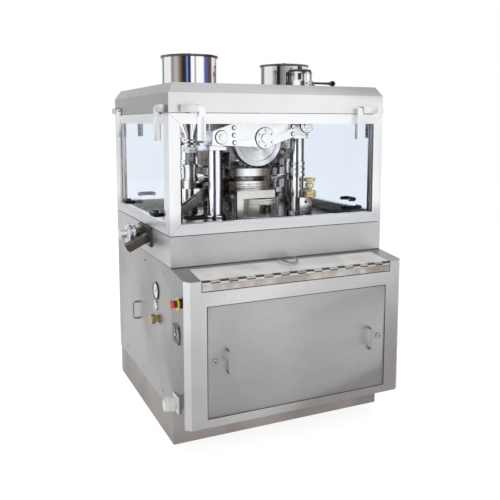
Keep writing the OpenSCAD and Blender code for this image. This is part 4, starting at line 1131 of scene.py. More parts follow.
def row_tree() -> bpy.types.NodeTree:
    """Copies the part that it is put on along a line.

    Returns:
        The tree.
    """
    sockets = [
        ("Part", "NodeSocketGeometry", None),
        ("Count", "NodeSocketInt", 12),
        ("Start", "NodeSocketVector", (0.0, 0.0, 0.0)),
        ("Step", "NodeSocketVector", (0.1, 0.0, 0.0)),
        ("Finish", "NodeSocketMaterial", None),
    ]
    graph = open_group(Pattern.ROW.value, "GeometryNodeTree", sockets, [("Result", "NodeSocketGeometry")])
    entry = graph.add("NodeGroupInput")
    inputs = {
        "Count": entry.outputs["Count"],
        "Start Location": entry.outputs["Start"],
        "Offset": entry.outputs["Step"],
    }
    line = graph.add("GeometryNodeMeshLine", inputs).outputs[0]
    inputs = {"Points": line, "Instance": entry.outputs["Part"]}
    placed = graph.add("GeometryNodeInstanceOnPoints", inputs).outputs[0]
    return finish_tree(graph, placed, entry)


def field_tree() -> bpy.types.NodeTree:
    """Puts a part on each point of the mesh that it is put on, its +Z along the point's facing.

    Returns:
        The tree.
    """
    sockets = [
        ("Points", "NodeSocketGeometry", None),
        ("Part", "NodeSocketObject", None),
        ("Finish", "NodeSocketMaterial", None),
    ]
    graph = open_group(Pattern.FIELD.value, "GeometryNodeTree", sockets, [("Result", "NodeSocketGeometry")])
    entry = graph.add("NodeGroupInput")
    facing = graph.add(
        "GeometryNodeInputNamedAttribute", {"Name": "facing"}, data_type="FLOAT_VECTOR"
    ).outputs[0]
    turn = graph.add("FunctionNodeAlignRotationToVector", {"Vector": facing}, axis="Z").outputs[0]
    part = graph.add("GeometryNodeObjectInfo", {"Object": entry.outputs["Part"]}).outputs["Geometry"]
    inputs = {"Points": entry.outputs["Points"], "Instance": part, "Rotation": turn}
    placed = graph.add("GeometryNodeInstanceOnPoints", inputs).outputs[0]
    return finish_tree(graph, placed, entry)


def tree_of(pattern: Pattern) -> bpy.types.NodeTree:
    """Gives a pattern's tree, building it the first time."""
    makers = {Pattern.RING: ring_tree, Pattern.ROW: row_tree, Pattern.FIELD: field_tree}
    return bpy.data.node_groups.get(pattern.value) or makers[pattern]()


def grown(mesh: Mesh, pattern: Pattern, inputs: Mapping[str, object]) -> Mesh:
    """Runs a pattern's tree on a mesh and gives the result as a plain mesh.

    Args:
        mesh: the part that repeats, or the points that parts are put on.
        pattern: the way in which it repeats.
        inputs: the tree's inputs by name; lengths are metres.

    Returns:
        The plain mesh.
    """
    carrier = bpy.data.objects.new("pattern carrier", mesh)
    bpy.context.scene.collection.objects.link(carrier)
    modifier = carrier.modifiers.new("pattern", "NODES")
    modifier.node_group = tree_of(pattern)
    for socket in modifier.node_group.interface.items_tree:
        if socket.in_out == "INPUT" and socket.name in inputs:
            modifier[socket.identifier] = inputs[socket.name]
    carrier.update_tag()
    bpy.context.view_layer.update()
    graph = bpy.context.evaluated_depsgraph_get()
    result = bpy.data.meshes.new_from_object(carrier.evaluated_get(graph))
    result.name = mesh.name
    bpy.data.objects.remove(carrier)
    return result


def ring_of(
    name: str,
    part: Solid,
    look: Look,
    count: int,
    radius: float,
    centre: Triple,
    tilt: Triple = (0.0, 0.0, 0.0),
    phase: float = 0.0,
) -> Mesh:
    """Copies a small part round an axis.

    Args:
        name: the mesh's name.
        part: the part, at the origin and facing +X.
        look: its finish.
        count: how many there are.
        radius: radius of the circle, in millimetres.
        centre: the circle's centre, in millimetres.
        tilt: turns of the circle about X, Y and Z, in degrees.
        phase: turn of the first part, in degrees.

    Returns:
        The mesh of all the parts.
    """
    inputs = {
        "Count": count,
        "Radius": radius * MM,
        "Phase": math.radians(phase),
        "Tilt": [math.radians(angle) for angle in tilt],
        "Centre": [value * MM for value in centre],
        "Finish": look.material(),
    }
    return grown(part.mesh(name), Pattern.RING, inputs)


def row_of(name: str, part: Solid, look: Look, count: int, start: Triple, step: Triple) -> Mesh:
    """Copies a small part along a line.

    Args:
        name: the mesh's name.
        part: the part, at the origin.
        look: its finish.
        count: how many there are.
        start: the first one's place, in millimetres.
        step: from one to the next, in millimetres.

    Returns:
        The mesh of all the parts.
    """
    inputs = {
        "Count": count,
        "Start": [value * MM for value in start],
        "Step": [value * MM for value in step],
        "Finish": look.material(),
    }
    return grown(part.mesh(name), Pattern.ROW, inputs)


def field_of(name: str, part: Solid, look: Look, spots: Iterable[tuple[Sequence[float], Triple]]) -> Mesh:
    """Puts a small part on each of some places.

    Args:
        name: the mesh's name.
        part: the part, standing on the origin along +Z.
        look: its finish.
        spots: place in millimetres and facing of each one.

    Returns:
        The mesh of all the parts.
    """
    spots = list(spots)
    points = bpy.data.meshes.new(name)
    points.from_pydata([[value * MM for value in place] for place, _ in spots], [], [])
    facing = points.attributes.new("facing", "FLOAT_VECTOR", "POINT")
    facing.data.foreach_set("vector", [float(value) for _, way in spots for value in way])
    model = bpy.data.objects.new(f"{name} model", part.mesh(f"{name} model"))
    bpy.context.scene.collection.objects.link(model)
    result = grown(points, Pattern.FIELD, {"Part": model, "Finish": look.material()})
    bpy.data.objects.remove(model)
    return result


# ---------------------------------------------------------------- pieces


def add_piece(name: str, mesh: Mesh, look: Look, body: str, *nodes: str) -> bpy.types.Object:
    """Puts a finished mesh into the scene and ties it to the frame.

    Args:
        name: the piece's name.
        mesh: its mesh, in metres.
        look: its finish.
        body: the body that it rides on.
        nodes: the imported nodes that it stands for.

    Returns:
        The piece.
    """
    piece = bpy.data.objects.new(name, mesh)
    bpy.context.scene.collection.objects.link(piece)
    if not mesh.materials:
        mesh.materials.append(look.material())
    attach(piece, body)
    if nodes:
        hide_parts(*nodes)
    LOG.info("%s rides on %s in %s", name, body, look.value.name)
    return piece


def dress_node(
    frame: Mapping[str, object], node: str, look: Look, round_by: float = 0.0, crease: float = 32.0
) -> None:
    """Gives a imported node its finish, soft edges and smooth rounds, and leaves its mesh alone.

    Args:
        node: the node's name.
        look: its finish.
        round_by: radius of its edges in millimetres, 0 for none.
        crease: angle in degrees above which an edge stays sharp or is rounded.
    """
    shown = frame["nodes"][node]
    shown.data.materials.clear()
    shown.data.materials.append(look.material())
    shown.data.shade_smooth()
    weld = shown.modifiers.new("weld", "WELD")
    weld.merge_threshold = 0.01 * MM
    flat = shown.modifiers.new("flat faces", "DECIMATE")
    flat.decimate_type = "DISSOLVE"
    flat.angle_limit = math.radians(0.5)
    if round_by:
        bevel = shown.modifiers.new("edges", "BEVEL")
        bevel.width = round_by * MM
        bevel.segments = 2
        bevel.limit_method = "ANGLE"
        bevel.angle_limit = math.radians(crease)
        bevel.use_clamp_overlap = False
        bevel.harden_normals = True
    else:
        split = shown.modifiers.new("creases", "EDGE_SPLIT")
        split.split_angle = math.radians(crease)
        split.use_edge_sharp = False
    LOG.info("%s keeps its solid and wears %s", node, look.value.name)


def screw_head(radius: float, height: float, socket: float) -> Solid:
    """A button-head screw standing on the origin, with a round-bottomed socket.

    Args:
        radius: the head's radius.
        height: its height.
        socket: the socket's radius.

    Returns:
        The solid.
    """
    profile = [
        (0, -1), (radius, -1), (radius, height * 0.35), (radius * 0.8, height * 0.85), (socket, height),
        (socket * 0.9, height * 0.35), (0, height * 0.3),
    ]
    return Solid().turned(profile, segments=16)


def cap_screw(radius: float, height: float) -> Solid:
    """A cap screw's head standing on the origin, with its socket.

    Args:
        radius: the head's radius.
        height: its height.

    Returns:
        The solid.
    """
    socket = radius * 0.55
    profile = [
        (0, -1), (radius, -1), (radius, height - 0.7), (radius - 0.7, height), (socket, height),
        (socket, height * 0.4), (0, height * 0.35),
    ]
    return Solid().turned(profile, segments=20)


@dataclass(frozen=True)
class Machine:
    """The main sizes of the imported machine, in millimetres."""

    half_w: float
    half_d: float
    band_top: float
    hood_bottom: float
    console_y: float

    @classmethod
    def measured(cls) -> Machine:
        """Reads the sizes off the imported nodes.

        Returns:
            The sizes.
        """
        _, band_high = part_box("deck_base")
        hood_low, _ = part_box("hood")
        shell_low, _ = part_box("console_shell")
        return cls(*(size / MM for size in (*band_high, hood_low[2], shell_low[1])))


def from_box(node: str) -> tuple[Vector, Vector]:
    """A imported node's lowest and highest corners in millimetres."""
    low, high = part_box(node)
    return Vector(low) / MM, Vector(high) / MM


# ---------------------------------------------------------------- cabinet


@dataclass
class Cabinet:
    """Plinth, frame, panels, deck, posts and hood, and what is screwed on them."""

    frame: Mapping[str, object]
    machine: Machine
    screw_r: float = 5.5
    side_screws: tuple[tuple[float, float], ...] = (
        (-420, 822), (-65, 822), (290, 822), (-10, 214), (345, 214)
    )
    rear_rows: tuple[float, ...] = (214, 518, 822)
    lock_at: tuple[float, float] = (-363, 210)
    pull_at: tuple[float, float] = (74, 513)
    pull_h: float = 104
    pull_out: float = 36
    pull_r: float = 5

    def build(self) -> None:
        """Dresses the nodes and adds the fittings."""
        for node, look, edge in (
            ("plinth", Look.PLINTH, 1.2),
            ("cabinet_frame", Look.FRAME_TUBE, 1.5),
            ("side_panels", Look.SIDE_PANEL, 0.8),
            ("rear_panel", Look.SIDE_PANEL, 0.8),
            ("deck_base", Look.BAND, 0.0),
            ("deck_plate", Look.DECK, 0.0),
            ("corner_posts", Look.BRIGHT, 0.8),
            ("hood", Look.HOOD, 0.0),
            ("hinge_brackets", Look.HINGE, 0.0),
        ):
            dress_node(self.frame, node, look, edge, 24.0)
        add_piece("panel_screws", self.screws(), Look.PULL, "machine", "panel_fittings")
        for name, turn in (("left", 0.0), ("right", math.pi)):
            add_piece(f"panel_pull_{name}", self.pull(turn), Look.PULL, "machine", "panel_fittings")
            add_piece(f"panel_lock_{name}", self.lock(turn), Look.BRIGHT, "machine", "panel_fittings")
        add_piece("hood_mitres", self.hood_mitres(), Look.SHAFT, "machine")

    def screws(self) -> Mesh:
        """Button-head screws of the side and rear panels.

        Returns:
            The mesh.
        """
        m = self.machine
        spots = []
        for y, z in self.side_screws:
            spots.append(((-m.half_w, y, z), LEFT))
            spots.append(((m.half_w, -y, z), (1, 0, 0)))
        for row, z in enumerate(self.rear_rows):
            for share in (-3, -1, 1, 3) if row != 1 else (-3, 3):
                spots.append(((share * (m.half_w - 60) / 3, m.half_d, z), (0, 1, 0)))
        return field_of("panel_screws", screw_head(self.screw_r, 3, 1.9), Look.PULL, spots)

    def pull(self, turn: float) -> Mesh:
        """A bent rod pull with a collar at each foot, on the left panel or turned to the right one.

        Args:
            turn: turn about the machine's axis, in radians.

        Returns:
            The mesh.
        """
        y, z = self.pull_at
        half = self.pull_h / 2 - self.pull_r
        x, out = -self.machine.half_w, -self.machine.half_w - self.pull_out + self.pull_r
        path = cornered_path([(x, y, z - half), (out, y, z - half), (out, y, z + half), (x, y, z + half)], 14)
        solid = Solid().rod(path, self.pull_r, 18)
        for side in (-half, half):
            collar = eased(
                [(self.pull_r - 1, 0), (self.pull_r + 4, 0), (self.pull_r + 3, 3), (self.pull_r - 1, 3)], 1
            )
            solid.turned([(r, -h) for r, h in collar], (x, y, z + side), Axis.X, 28)
        return solid.moved(Matrix.Rotation(turn, 4, "Z")).mesh("panel_pull")

    def lock(self, turn: float) -> Mesh:
        """A round cam lock with a key slot, on the left panel or turned to the right one.

        Args:
            turn: turn about the machine's axis, in radians.

        Returns:
            The mesh.
        """
        y, z = self.lock_at
        x = -self.machine.half_w
        profile = [(0, 1), (11, 1), (11, -2.4), (9.4, -4), (7.4, -4), (7, -3), (0, -3)]
        solid = Solid().turned(profile, (x, y, z), Axis.X, 36)
        solid.block((x - 3.6, y - 0.8, z - 4.5), (x - 2, y + 0.8, z + 4.5), 0.2)
        return solid.moved(Matrix.Rotation(turn, 4, "Z")).mesh("panel_lock")

    def hood_mitres(self) -> Mesh:
        """The welded seams where the hood's sheets meet, as thin beads down its corners.

        Returns:
            The mesh.
        """
        m = self.machine
        low, high = from_box("hood")
        shoulder, run = 1688, 30
        solid = Solid()
        for sx in (-1, 1):
            for sy in (-1, 1):
                x, y = sx * (m.half_w - 0.6), sy * (m.half_d - 0.6)
                path = [
                    Vector((x, y, low[2] + 1)),
                    Vector((x, y, shoulder)),
                    Vector((sx * (m.half_w - run), sy * (m.half_d - run), high[2] - 0.7)),
                ]
                solid.rod(path, 0.7, 8)
        return solid.mesh("hood_mitres")


# ---------------------------------------------------------------- console


@dataclass
class Console:
    """The console in front: its shell, lid, pull-off door and their fittings."""

    frame: Mapping[str, object]
    machine: Machine
    lock_in: float = 36
    pull_in: float = 97
    lock_z: float = 466
    pull_z: float = 463
    pull_h: float = 116
    pull_out: float = 32
    pull_r: float = 4.5
    lid_half: float = 510
    lid_z: float = 848
    lid_back: float = -563
    lid_rise: float = 23
    bow_w: float = 42
    bow_d: float = 72
    bow_h: float = 15
    hinge_parts: int = 23
    hinge_at: tuple[float, float] = (6, -6)
    strip_screw_z: float = 817

    def build(self) -> None:
        """Dresses the nodes and adds the fittings."""
        dress_node(self.frame, "console_shell", Look.CONSOLE, 0.0, 20.0)
        dress_node(self.frame, "console_door", Look.CONSOLE_DOOR, 1.2, 24.0)
        dress_node(self.frame, "console_lid", Look.LID, 0.0, 24.0)
        low, high = from_box("console_door")
        for name, side in (("left", -1), ("right", 1)):
            edge = side * high[0]
            add_piece(
                f"console_lock_{name}", self.lock(edge - side * self.lock_in), Look.PULL, "console_front",
                "console_door_fittings",
            )
            add_piece(
                f"console_pull_{name}", self.pull(edge - side * self.pull_in), Look.PULL, "console_front",
                "console_door_fittings",
            )
        add_piece("console_lid_screws", self.strip_screws(low[0], high[0]), Look.BRIGHT, "machine")
        add_piece("console_door_seal", self.seal(low, high), Look.INK, "machine")
        add_piece("lid_hinge_strip", self.strip(), Look.STRIP, "machine")
        add_piece("lid_hinge_lines", self.strip_lines(), Look.INK, "machine")
        add_piece("console_lid_bow", self.bow(), Look.PULL, "console_top")
        add_piece("lid_hinge_knuckles", self.knuckles(0, 12, Look.IRON), Look.IRON, "machine")
        add_piece("lid_hinge_sleeves", self.knuckles(1, 11, Look.STRIP), Look.STRIP, "console_top")

    def seal(self, low: Triple, high: Triple) -> Mesh:
        """A thin dark rubber cord round the doorway.

        Args:
            low: the door's lowest corner.
            high: the door's highest corner.

        Returns:
            The mesh.
        """
        y = self.machine.console_y - 0.1
        x0, x1, z0, z1 = low[0] - 1.2, high[0] + 1.2, low[2] - 1.2, high[2] + 1.2
        corners = [(x0, y, z0), (x1, y, z0), (x1, y, z1), (x0, y, z1)]
        solid = Solid()
        for start, end in zip(corners, corners[1:] + corners[:1]):
            solid.rod([Vector(start), Vector(end)], 1.1, 8)
        return solid.mesh("console_door_seal")

    def strip(self) -> Mesh:
        """A thin worn plate over the hinge strip under the lid.

        Returns:
            The mesh.
        """
        y, half, top = self.machine.console_y, self.lid_half, self.lid_z
        return Solid().block(
            (-half + 2, y - 0.5, top - 47), (half - 2, y + 0.5, top - 16), 0.3
        ).mesh("lid_hinge_strip")

    def strip_lines(self) -> Mesh:
        """The dark gap under the hinge strip and at its two ends.

        Returns:
            The mesh.
        """
        y, half, top = self.machine.console_y - 0.2, self.lid_half, self.lid_z
        corners = [(-half, y, top - 12), (-half, y, top - 49), (half, y, top - 49), (half, y, top - 12)]
        solid = Solid()
        for start, end in zip(corners, corners[1:]):
            solid.rod([Vector(start), Vector(end)], 1.4, 8)
        return solid.mesh("lid_hinge_lines")

    def bow(self) -> Mesh:
        """A round bar along the lid's flat bow pull.

        Returns:
            The mesh.
        """
        front = Vector((0, self.machine.console_y, self.lid_z))
        along = Vector((0, self.lid_back - 2 - front.y, 0))
        along.z = self.lid_rise * along.y / (self.lid_back + 33 - front.y)
        lift = Vector((0, -along.z, along.y)).normalized()
        middle = front + along - along.normalized() * 12 + lift * self.bow_h
        path = []
        for step in range(25):
            turn = math.pi * step / 24
            reach = -self.bow_d * math.sin(turn)
            path.append(middle + Vector((self.bow_w * math.cos(turn), 0, 0)) + along.normalized() * reach)
        return Solid().rod(path, 5.1, 14).mesh("console_lid_bow")

    def knuckles(self, first: int, count: int, look: Look) -> Mesh:
        """Sleeves on every other knuckle of the lid's hinge.

        Args:
            first: 0 for the fixed knuckles, 1 for the lid's.
            count: how many there are.
            look: their finish.

        Returns:
            The mesh.
        """
        step = 2 * self.lid_half / self.hinge_parts
        part = Solid().turned(
            [(5.5, 0.6), (6.3, 0.6), (6.3, step - 1.6), (5.5, step - 1.6)], axis=Axis.X, segments=20
        )
        y, z = self.machine.console_y + self.hinge_at[0], self.lid_z + self.hinge_at[1]
        start = (first * step - self.lid_half, y, z)
        return row_of(f"lid_knuckles_{first}", part, look, count, start, (2 * step, 0, 0))

    def lock(self, x: float) -> Mesh:
        """A quarter-turn lock with its collar, slot and bolt behind the door.

        Args:
            x: place of its axis.

        Returns:
            The mesh.
        """
        y, z = self.machine.console_y, self.lock_z
        profile = eased(
            [(0, 14), (9, 14), (9, 0.1), (16, 0.1), (16, -2), (12, -5), (0, -5)], 0.8, closed=False
        )
        solid = Solid().turned(profile, (x, y, z), Axis.Y, 40)
        solid.turned([(0, 0), (8.4, 0), (7.6, -1.8), (0, -1.8)], (x, y - 3.2, z), Axis.Y, 32)
        turn = Matrix.Translation((x, 0, z)) @ Matrix.Rotation(math.radians(35), 4, "Y")
        solid.block((-7, y - 5, -1.1), (7, y - 4.2, 1.1), 0.2, turn)
        return solid.mesh("console_lock")

    def pull(self, x: float) -> Mesh:
        """An upright pull of bent rod with a rosette at each foot.

        Args:
            x: place of its middle.

        Returns:
            The mesh.
        """
        y, z = self.machine.console_y, self.pull_z
        half, out = self.pull_h / 2 - self.pull_r, self.pull_out - self.pull_r
        corners = [(x, y + 1, z - half), (x, y - out, z - half), (x, y - out, z + half), (x, y + 1, z + half)]
        solid = Solid().rod(cornered_path(corners, 15), self.pull_r, 18)
        for side in (-half, half):
            solid.turned(
                [(4, 0.5), (9, 0.5), (9, -1.4), (7.6, -2.6), (4, -2.6)], (x, y, z + side), Axis.Y, 30
            )
        return solid.mesh("console_pull")

    def strip_screws(self, low: float, high: float) -> Mesh:
        """Screws of the hinge strip under the lid.

        Args:
            low: the door's left edge.
            high: the door's right edge.

        Returns:
            The mesh.
        """
        part = screw_head(3.2, 1.6, 1.1).moved(Matrix.Rotation(math.pi / 2, 4, "X"))
        count, margin = 9, 30
        step = (high - low - 2 * margin) / (count - 1)
        start = (low + margin, self.machine.console_y, self.strip_screw_z)
        return row_of("console_lid_screws", part, Look.BRIGHT, count, start, (step, 0, 0))


# ---------------------------------------------------------------- glass doors


class Side(Enum):
    """The four sides that a glass door hangs on: name and turn from the front, in degrees."""

    FRONT = ("front", 0)
    REAR = ("rear", 180)
    LEFT = ("left", -90)
    RIGHT = ("right", 90)

    @property
    def label(self) -> str:
        """The side's name in nodes and bodies."""
        return self.value[0]

    @property
    def crosswise(self) -> bool:
        """Whether the door stands along X."""
        return self.value[1] in (0, 180)


@dataclass
class GlassDoor:
    """One lift-up door: frame, pane, two black pulls and the screws of its straps."""

    frame: Mapping[str, object]
    machine: Machine
    side: Side
    stile: float = 54
    top_rail: float = 50
    thick: float = 30
    gap: float = 3
    pane_face: float = 12
    pane_back: float = 18
    pull_l: float = 110
    pull_z: float = 1109
    strap_w: float = 34
    strap_z: float = 1466
    block: float = 86
    wide_pulls: tuple[float, float] = (122, 188)
    narrow_pulls: tuple[float, float] = (292, 147)

    def __post_init__(self) -> None:
        """Works out the door's half-width, how far it stands out and where its fittings are."""
        m = self.machine
        wide = self.side.crosswise
        self.out = m.half_d if wide else m.half_w
        self.half = m.half_w if wide else m.half_d - self.thick - self.gap
        first, second = self.wide_pulls if wide else self.narrow_pulls
        self.pull_x = (first - self.half, self.half - second)
        self.end = 52 if wide else 2
        self.low = m.band_top + self.gap
        self.high = m.hood_bottom - self.gap
        self.place = Matrix.Rotation(
            math.radians(self.side.value[1]), 4, "Z"
        ) @ Matrix.Translation((0, -self.out, 0))

    def build(self) -> None:
        """Dresses the nodes and adds the pulls, seams and screws."""
        label, body = self.side.label, f"door_{self.side.label}"
        dress_node(self.frame, f"{label}_door_frame", Look.DOOR_FRAME, 0.9, 24.0)
        near = self.side in (Side.FRONT, Side.LEFT)
        # The far doors take the painted blue-grey tint of the same glass.
        dress_node(self.frame, f"{label}_door_glass", Look.GLASS if near else Look.FAR_GLASS)
        add_piece(f"{label}_pulls", self.pulls(), Look.BLACK, body, f"{label}_door_pulls")
        add_piece(f"{label}_pull_screws", self.pull_screws(), Look.BRIGHT, body)
        add_piece(f"{label}_frame_seams", self.seams(), Look.DARK, body)
        add_piece(f"{label}_strap_screws", self.strap_screws(), Look.DARK, body)

    def pulls(self) -> Mesh:
        """Two arched grips, one end fuller than the other, with a flat foot at each end.

        Returns:
            The mesh.
        """
        solid = Solid()
        foot = self.pull_l / 2 - 11
        for x in self.pull_x:
            line = [(-foot, self.pane_face, 0), (-foot, -6, 0), (-foot + 4, -20, 0), (-foot + 16, -28, 0)]
            line += [
                (0, -29.5, 0), (foot - 14, -28, 0), (foot - 3, -20, 0), (foot, -6, 0),
                (foot, self.pane_face, 0),
            ]
            path = smooth_path(line, 6)
            radii = []
            for point in path:
                along = (point.x + foot) / (2 * foot)
                lifted = min(max((self.pane_face - point.y) / 30, 0), 1)
                radii.append(9.4 + lifted * (2.3 + 0.2 * abs(2 * along - 1) - 0.6 * along))
            solid.rod([p + Vector((x, 0, self.pull_z)) for p in path], radii, 22)
            for end in (-foot, foot):
                profile = eased([(0, 0), (11, 0), (11, -4), (8.5, -8), (0, -8)], 1.5, closed=False)
                solid.turned(profile, (x + end, self.pane_face, self.pull_z), Axis.Y, 32)
        return solid.moved(self.place).mesh("door_pulls", 50)

    def pull_screws(self) -> Mesh:
        """Cap nuts of the pulls behind the pane.

        Returns:
            The mesh.
        """
        foot = self.pull_l / 2 - 11
        spots = []
        for x in self.pull_x:
            for end in (-foot, foot):
                place = self.place @ Vector((x + end, self.pane_back, self.pull_z))
                spots.append((tuple(place), tuple(self.place.to_3x3() @ Vector((0, 1, 0)))))
        return field_of("pull_screws", screw_head(6.5, 4, 2), Look.BRIGHT, spots)

    def seams(self) -> Mesh:
        """The mitre lines in the four corners of the frame, in front and behind.

        Returns:
            The mesh.
        """
        solid = Solid()
        inner = self.half - self.stile
        for sx in (-1, 1):
            for top in (False, True):
                outer_z = self.high if top else self.low
                inner_z = self.high - self.top_rail if top else self.low + self.stile
                for y in (0.35, self.thick - 0.35):
                    path = [Vector((sx * (self.half - 1), y, outer_z + (-1 if top else 1)))]
                    path.append(Vector((sx * inner, y, inner_z)))
                    solid.rod(path, 0.55, 6)
        return solid.moved(self.place).mesh("frame_seams")

    def strap_screws(self) -> Mesh:
        """Two screws at the foot of each hinge strap, seen through the pane.

        Returns:
            The mesh.
        """
        spots = []
        for s in (-1, 1):
            middle = s * (self.half - self.end - self.block - 0.6 - self.strap_w / 2)
            for z in (self.strap_z + 18, self.strap_z + 44):
                place = self.place @ Vector((middle, self.thick if z > self.high - self.top_rail else 0, z))
                way = self.place.to_3x3() @ Vector((0, 1, 0))
                spots.append((tuple(place), tuple(way)))
        return field_of("strap_screws", screw_head(5, 3, 1.8), Look.DARK, spots)


# ---------------------------------------------------------------- hoppers


@dataclass
class Hopper:
    """One powder hopper with its rolled rim, its lid and knob."""

    name: str
    x: float
    y: float
    look: Look
    radius: float = 140
    wall: float = 2
    rim_z: float = 1888
    roof_z: float = 1735
    cone_z: float = 1700
    neck_top: float = 1484
    neck_z: float = 1424
    neck_r: float = 29
    roll_r: float = 4.7
    roll_out: float = 4.3

    def build(self) -> None:
        """Adds the hopper and its lid."""
        bowl = Solid().turned(self.section(), (self.x, self.y, 0), segments=128)
        add_piece(
            f"hopper_bowl_{self.name}", bowl.mesh("hopper_bowl"), self.look, "machine", f"hopper_{self.name}"
        )
        rim = Solid().rod(self.rim(), self.roll_r, 12, closed=True)
        add_piece(f"hopper_rim_{self.name}", rim.mesh("hopper_rim"), Look.DARK, "machine")
        body = f"hopper_cover_{self.name}"
        lid = Solid().turned(self.lid_section(), (self.x, self.y, self.rim_z + 0.3), segments=128)
        add_piece(
            f"hopper_cover_{self.name}_sheet", lid.mesh("hopper_cover"), self.look, body,
            f"hopper_lid_{self.name}",
        )
        knob = Solid().turned(self.knob_section(), (self.x, self.y, self.rim_z + 0.3), segments=40)
        add_piece(
            f"hopper_cover_{self.name}_knob", knob.mesh("hopper_knob"), Look.BLACK, body,
            f"hopper_lid_{self.name}",
        )

    def rim(self) -> list[Vector]:
        """The centre line of the rolled rim."""
        return around((self.x, self.y, self.rim_z - self.roll_r), self.radius + self.roll_out, 96)

    def section(self) -> Profile:
        """The hopper's sheet in section, with the bead at its rim and the collar on the roof.

        Returns:
            The section.
        """
        r, w = self.radius, self.wall
        bead_r = 4.4
        section = [(r - w, self.rim_z - 3)]
        for step in range(9):
            angle = math.radians(180 - 30 * step)
            across = r + self.roll_out + bead_r * math.cos(angle)
            section.append((across, self.rim_z - bead_r + bead_r * math.sin(angle)))
        section += [
            (r, self.rim_z - 9), (r, self.roof_z + 5), (r + 3.5, self.roof_z + 4), (r + 4, self.roof_z)
        ]
        section += [(r, self.roof_z), (r, self.cone_z), (self.neck_r + w, self.neck_top)]
        section += [(self.neck_r + w, self.neck_z), (self.neck_r, self.neck_z), (self.neck_r, self.neck_top)]
        section.append((r - w, self.cone_z))
        return section

    def lid_section(self) -> Profile:
        """The lid's sheet: a flat rim, a low step and a slightly raised middle.

        Returns:
            The section.
        """
        r = self.radius
        return [
            (0, 0), (r + 5, 0), (r + 7.5, 0.8), (r + 7.5, 2), (r + 5, 2.8), (r - 12, 2.9), (r - 15, 2.2),
            (r - 22, 2.2), (r - 25, 2.9), (30, 3.2), (12, 4.4), (0, 4.4),
        ]

    @staticmethod
    def knob_section() -> Profile:
        """The lid's knob on its stem.

        Returns:
            The section.
        """
        return [
            (0, 2), (8, 2), (8, 4.6), (5, 5.4), (4.6, 9), (9, 10), (10, 12.5), (9.4, 16), (6, 17.8), (0, 18),
        ]


# ---------------------------------------------------------------- turret and what presses on it


@dataclass
class Turret:
    """The turning die table with its punches, shaft and worm wheel."""

    frame: Mapping[str, object]
    stations: int = 33
    pitch_r: float = 205
    head_top: float = 1316.4
    head_low: float = 1156
    die_top: float = 1238
    guide_top: float = 1306
    guide_screw_r: float = 138
    lock_r: float = 250
    lock_z: float = 1221

    def build(self) -> None:
        """Dresses the turret's nodes and adds punches and screws."""
        dress_node(self.frame, "main_shaft", Look.SHAFT)
        dress_node(self.frame, "punch_guide", Look.TURRET)
        dress_node(self.frame, "die_table", Look.TURRET)
        dress_node(self.frame, "worm_wheel", Look.BRONZE)
        phase = 180 / self.stations
        for name, section, node in (
            ("upper_punch_set", self.upper_punch(), "upper_punches"),
            ("lower_punch_set", self.lower_punch(), "lower_punches"),
        ):
            part = Solid().turned(section, segments=20)
            mesh = ring_of(name, part, Look.SHAFT, self.stations, self.pitch_r, (0, 0, 0), phase=phase)
            add_piece(name, mesh, Look.SHAFT, "turret", node)
        top = (0, 0, self.guide_top)
        screws = ring_of("guide_screws", cap_screw(6, 6), Look.BRIGHT, 12, self.guide_screw_r, top)
        add_piece("guide_screws", screws, Look.BRIGHT, "turret")
        lock = ring_of(
            "die_lock_screws", self.lock_screw(), Look.DARK, self.stations, self.lock_r, (0, 0, self.lock_z),
            phase=phase,
        )
        add_piece("die_lock_screws", lock, Look.DARK, "turret")

    def upper_punch(self) -> Profile:
        """An upper punch: tip, barrel, neck and domed head.

        Returns:
            The section.
        """
        top = self.head_top
        return [
            (0, self.die_top + 12), (5.4, self.die_top + 12), (6, self.die_top + 13), (6, self.die_top + 25),
            (10.4, self.die_top + 27), (11, self.die_top + 28), (11, top - 9.4), (8, top - 8.6), (8, top - 7),
            (12.4, top - 5.6), (13, top - 4.4), (12.6, top - 2.4), (8, top - 0.3), (0, top),
        ]

    def lower_punch(self) -> Profile:
        """A lower punch: domed head, barrel and tip.

        Returns:
            The section.
        """
        low = self.head_low
        return [
            (0, low), (8, low + 0.3), (12.6, low + 2.4), (13, low + 4), (12.4, low + 5.4), (8, low + 6.6),
            (8, low + 8), (11, low + 9), (11, self.die_top - 26), (6, self.die_top - 24),
            (6, self.die_top - 2), (0, self.die_top - 2),
        ]

    @staticmethod
    def lock_screw() -> Solid:
        """A die lock screw's recessed head on the table's rim, facing +X."""
        profile = [(0, -3), (4.6, -3), (4.6, 0.15), (3.6, 0.15), (2.4, -0.6), (0, -0.6)]
        return Solid().turned(profile, (0, 0, 0), Axis.X, 16)


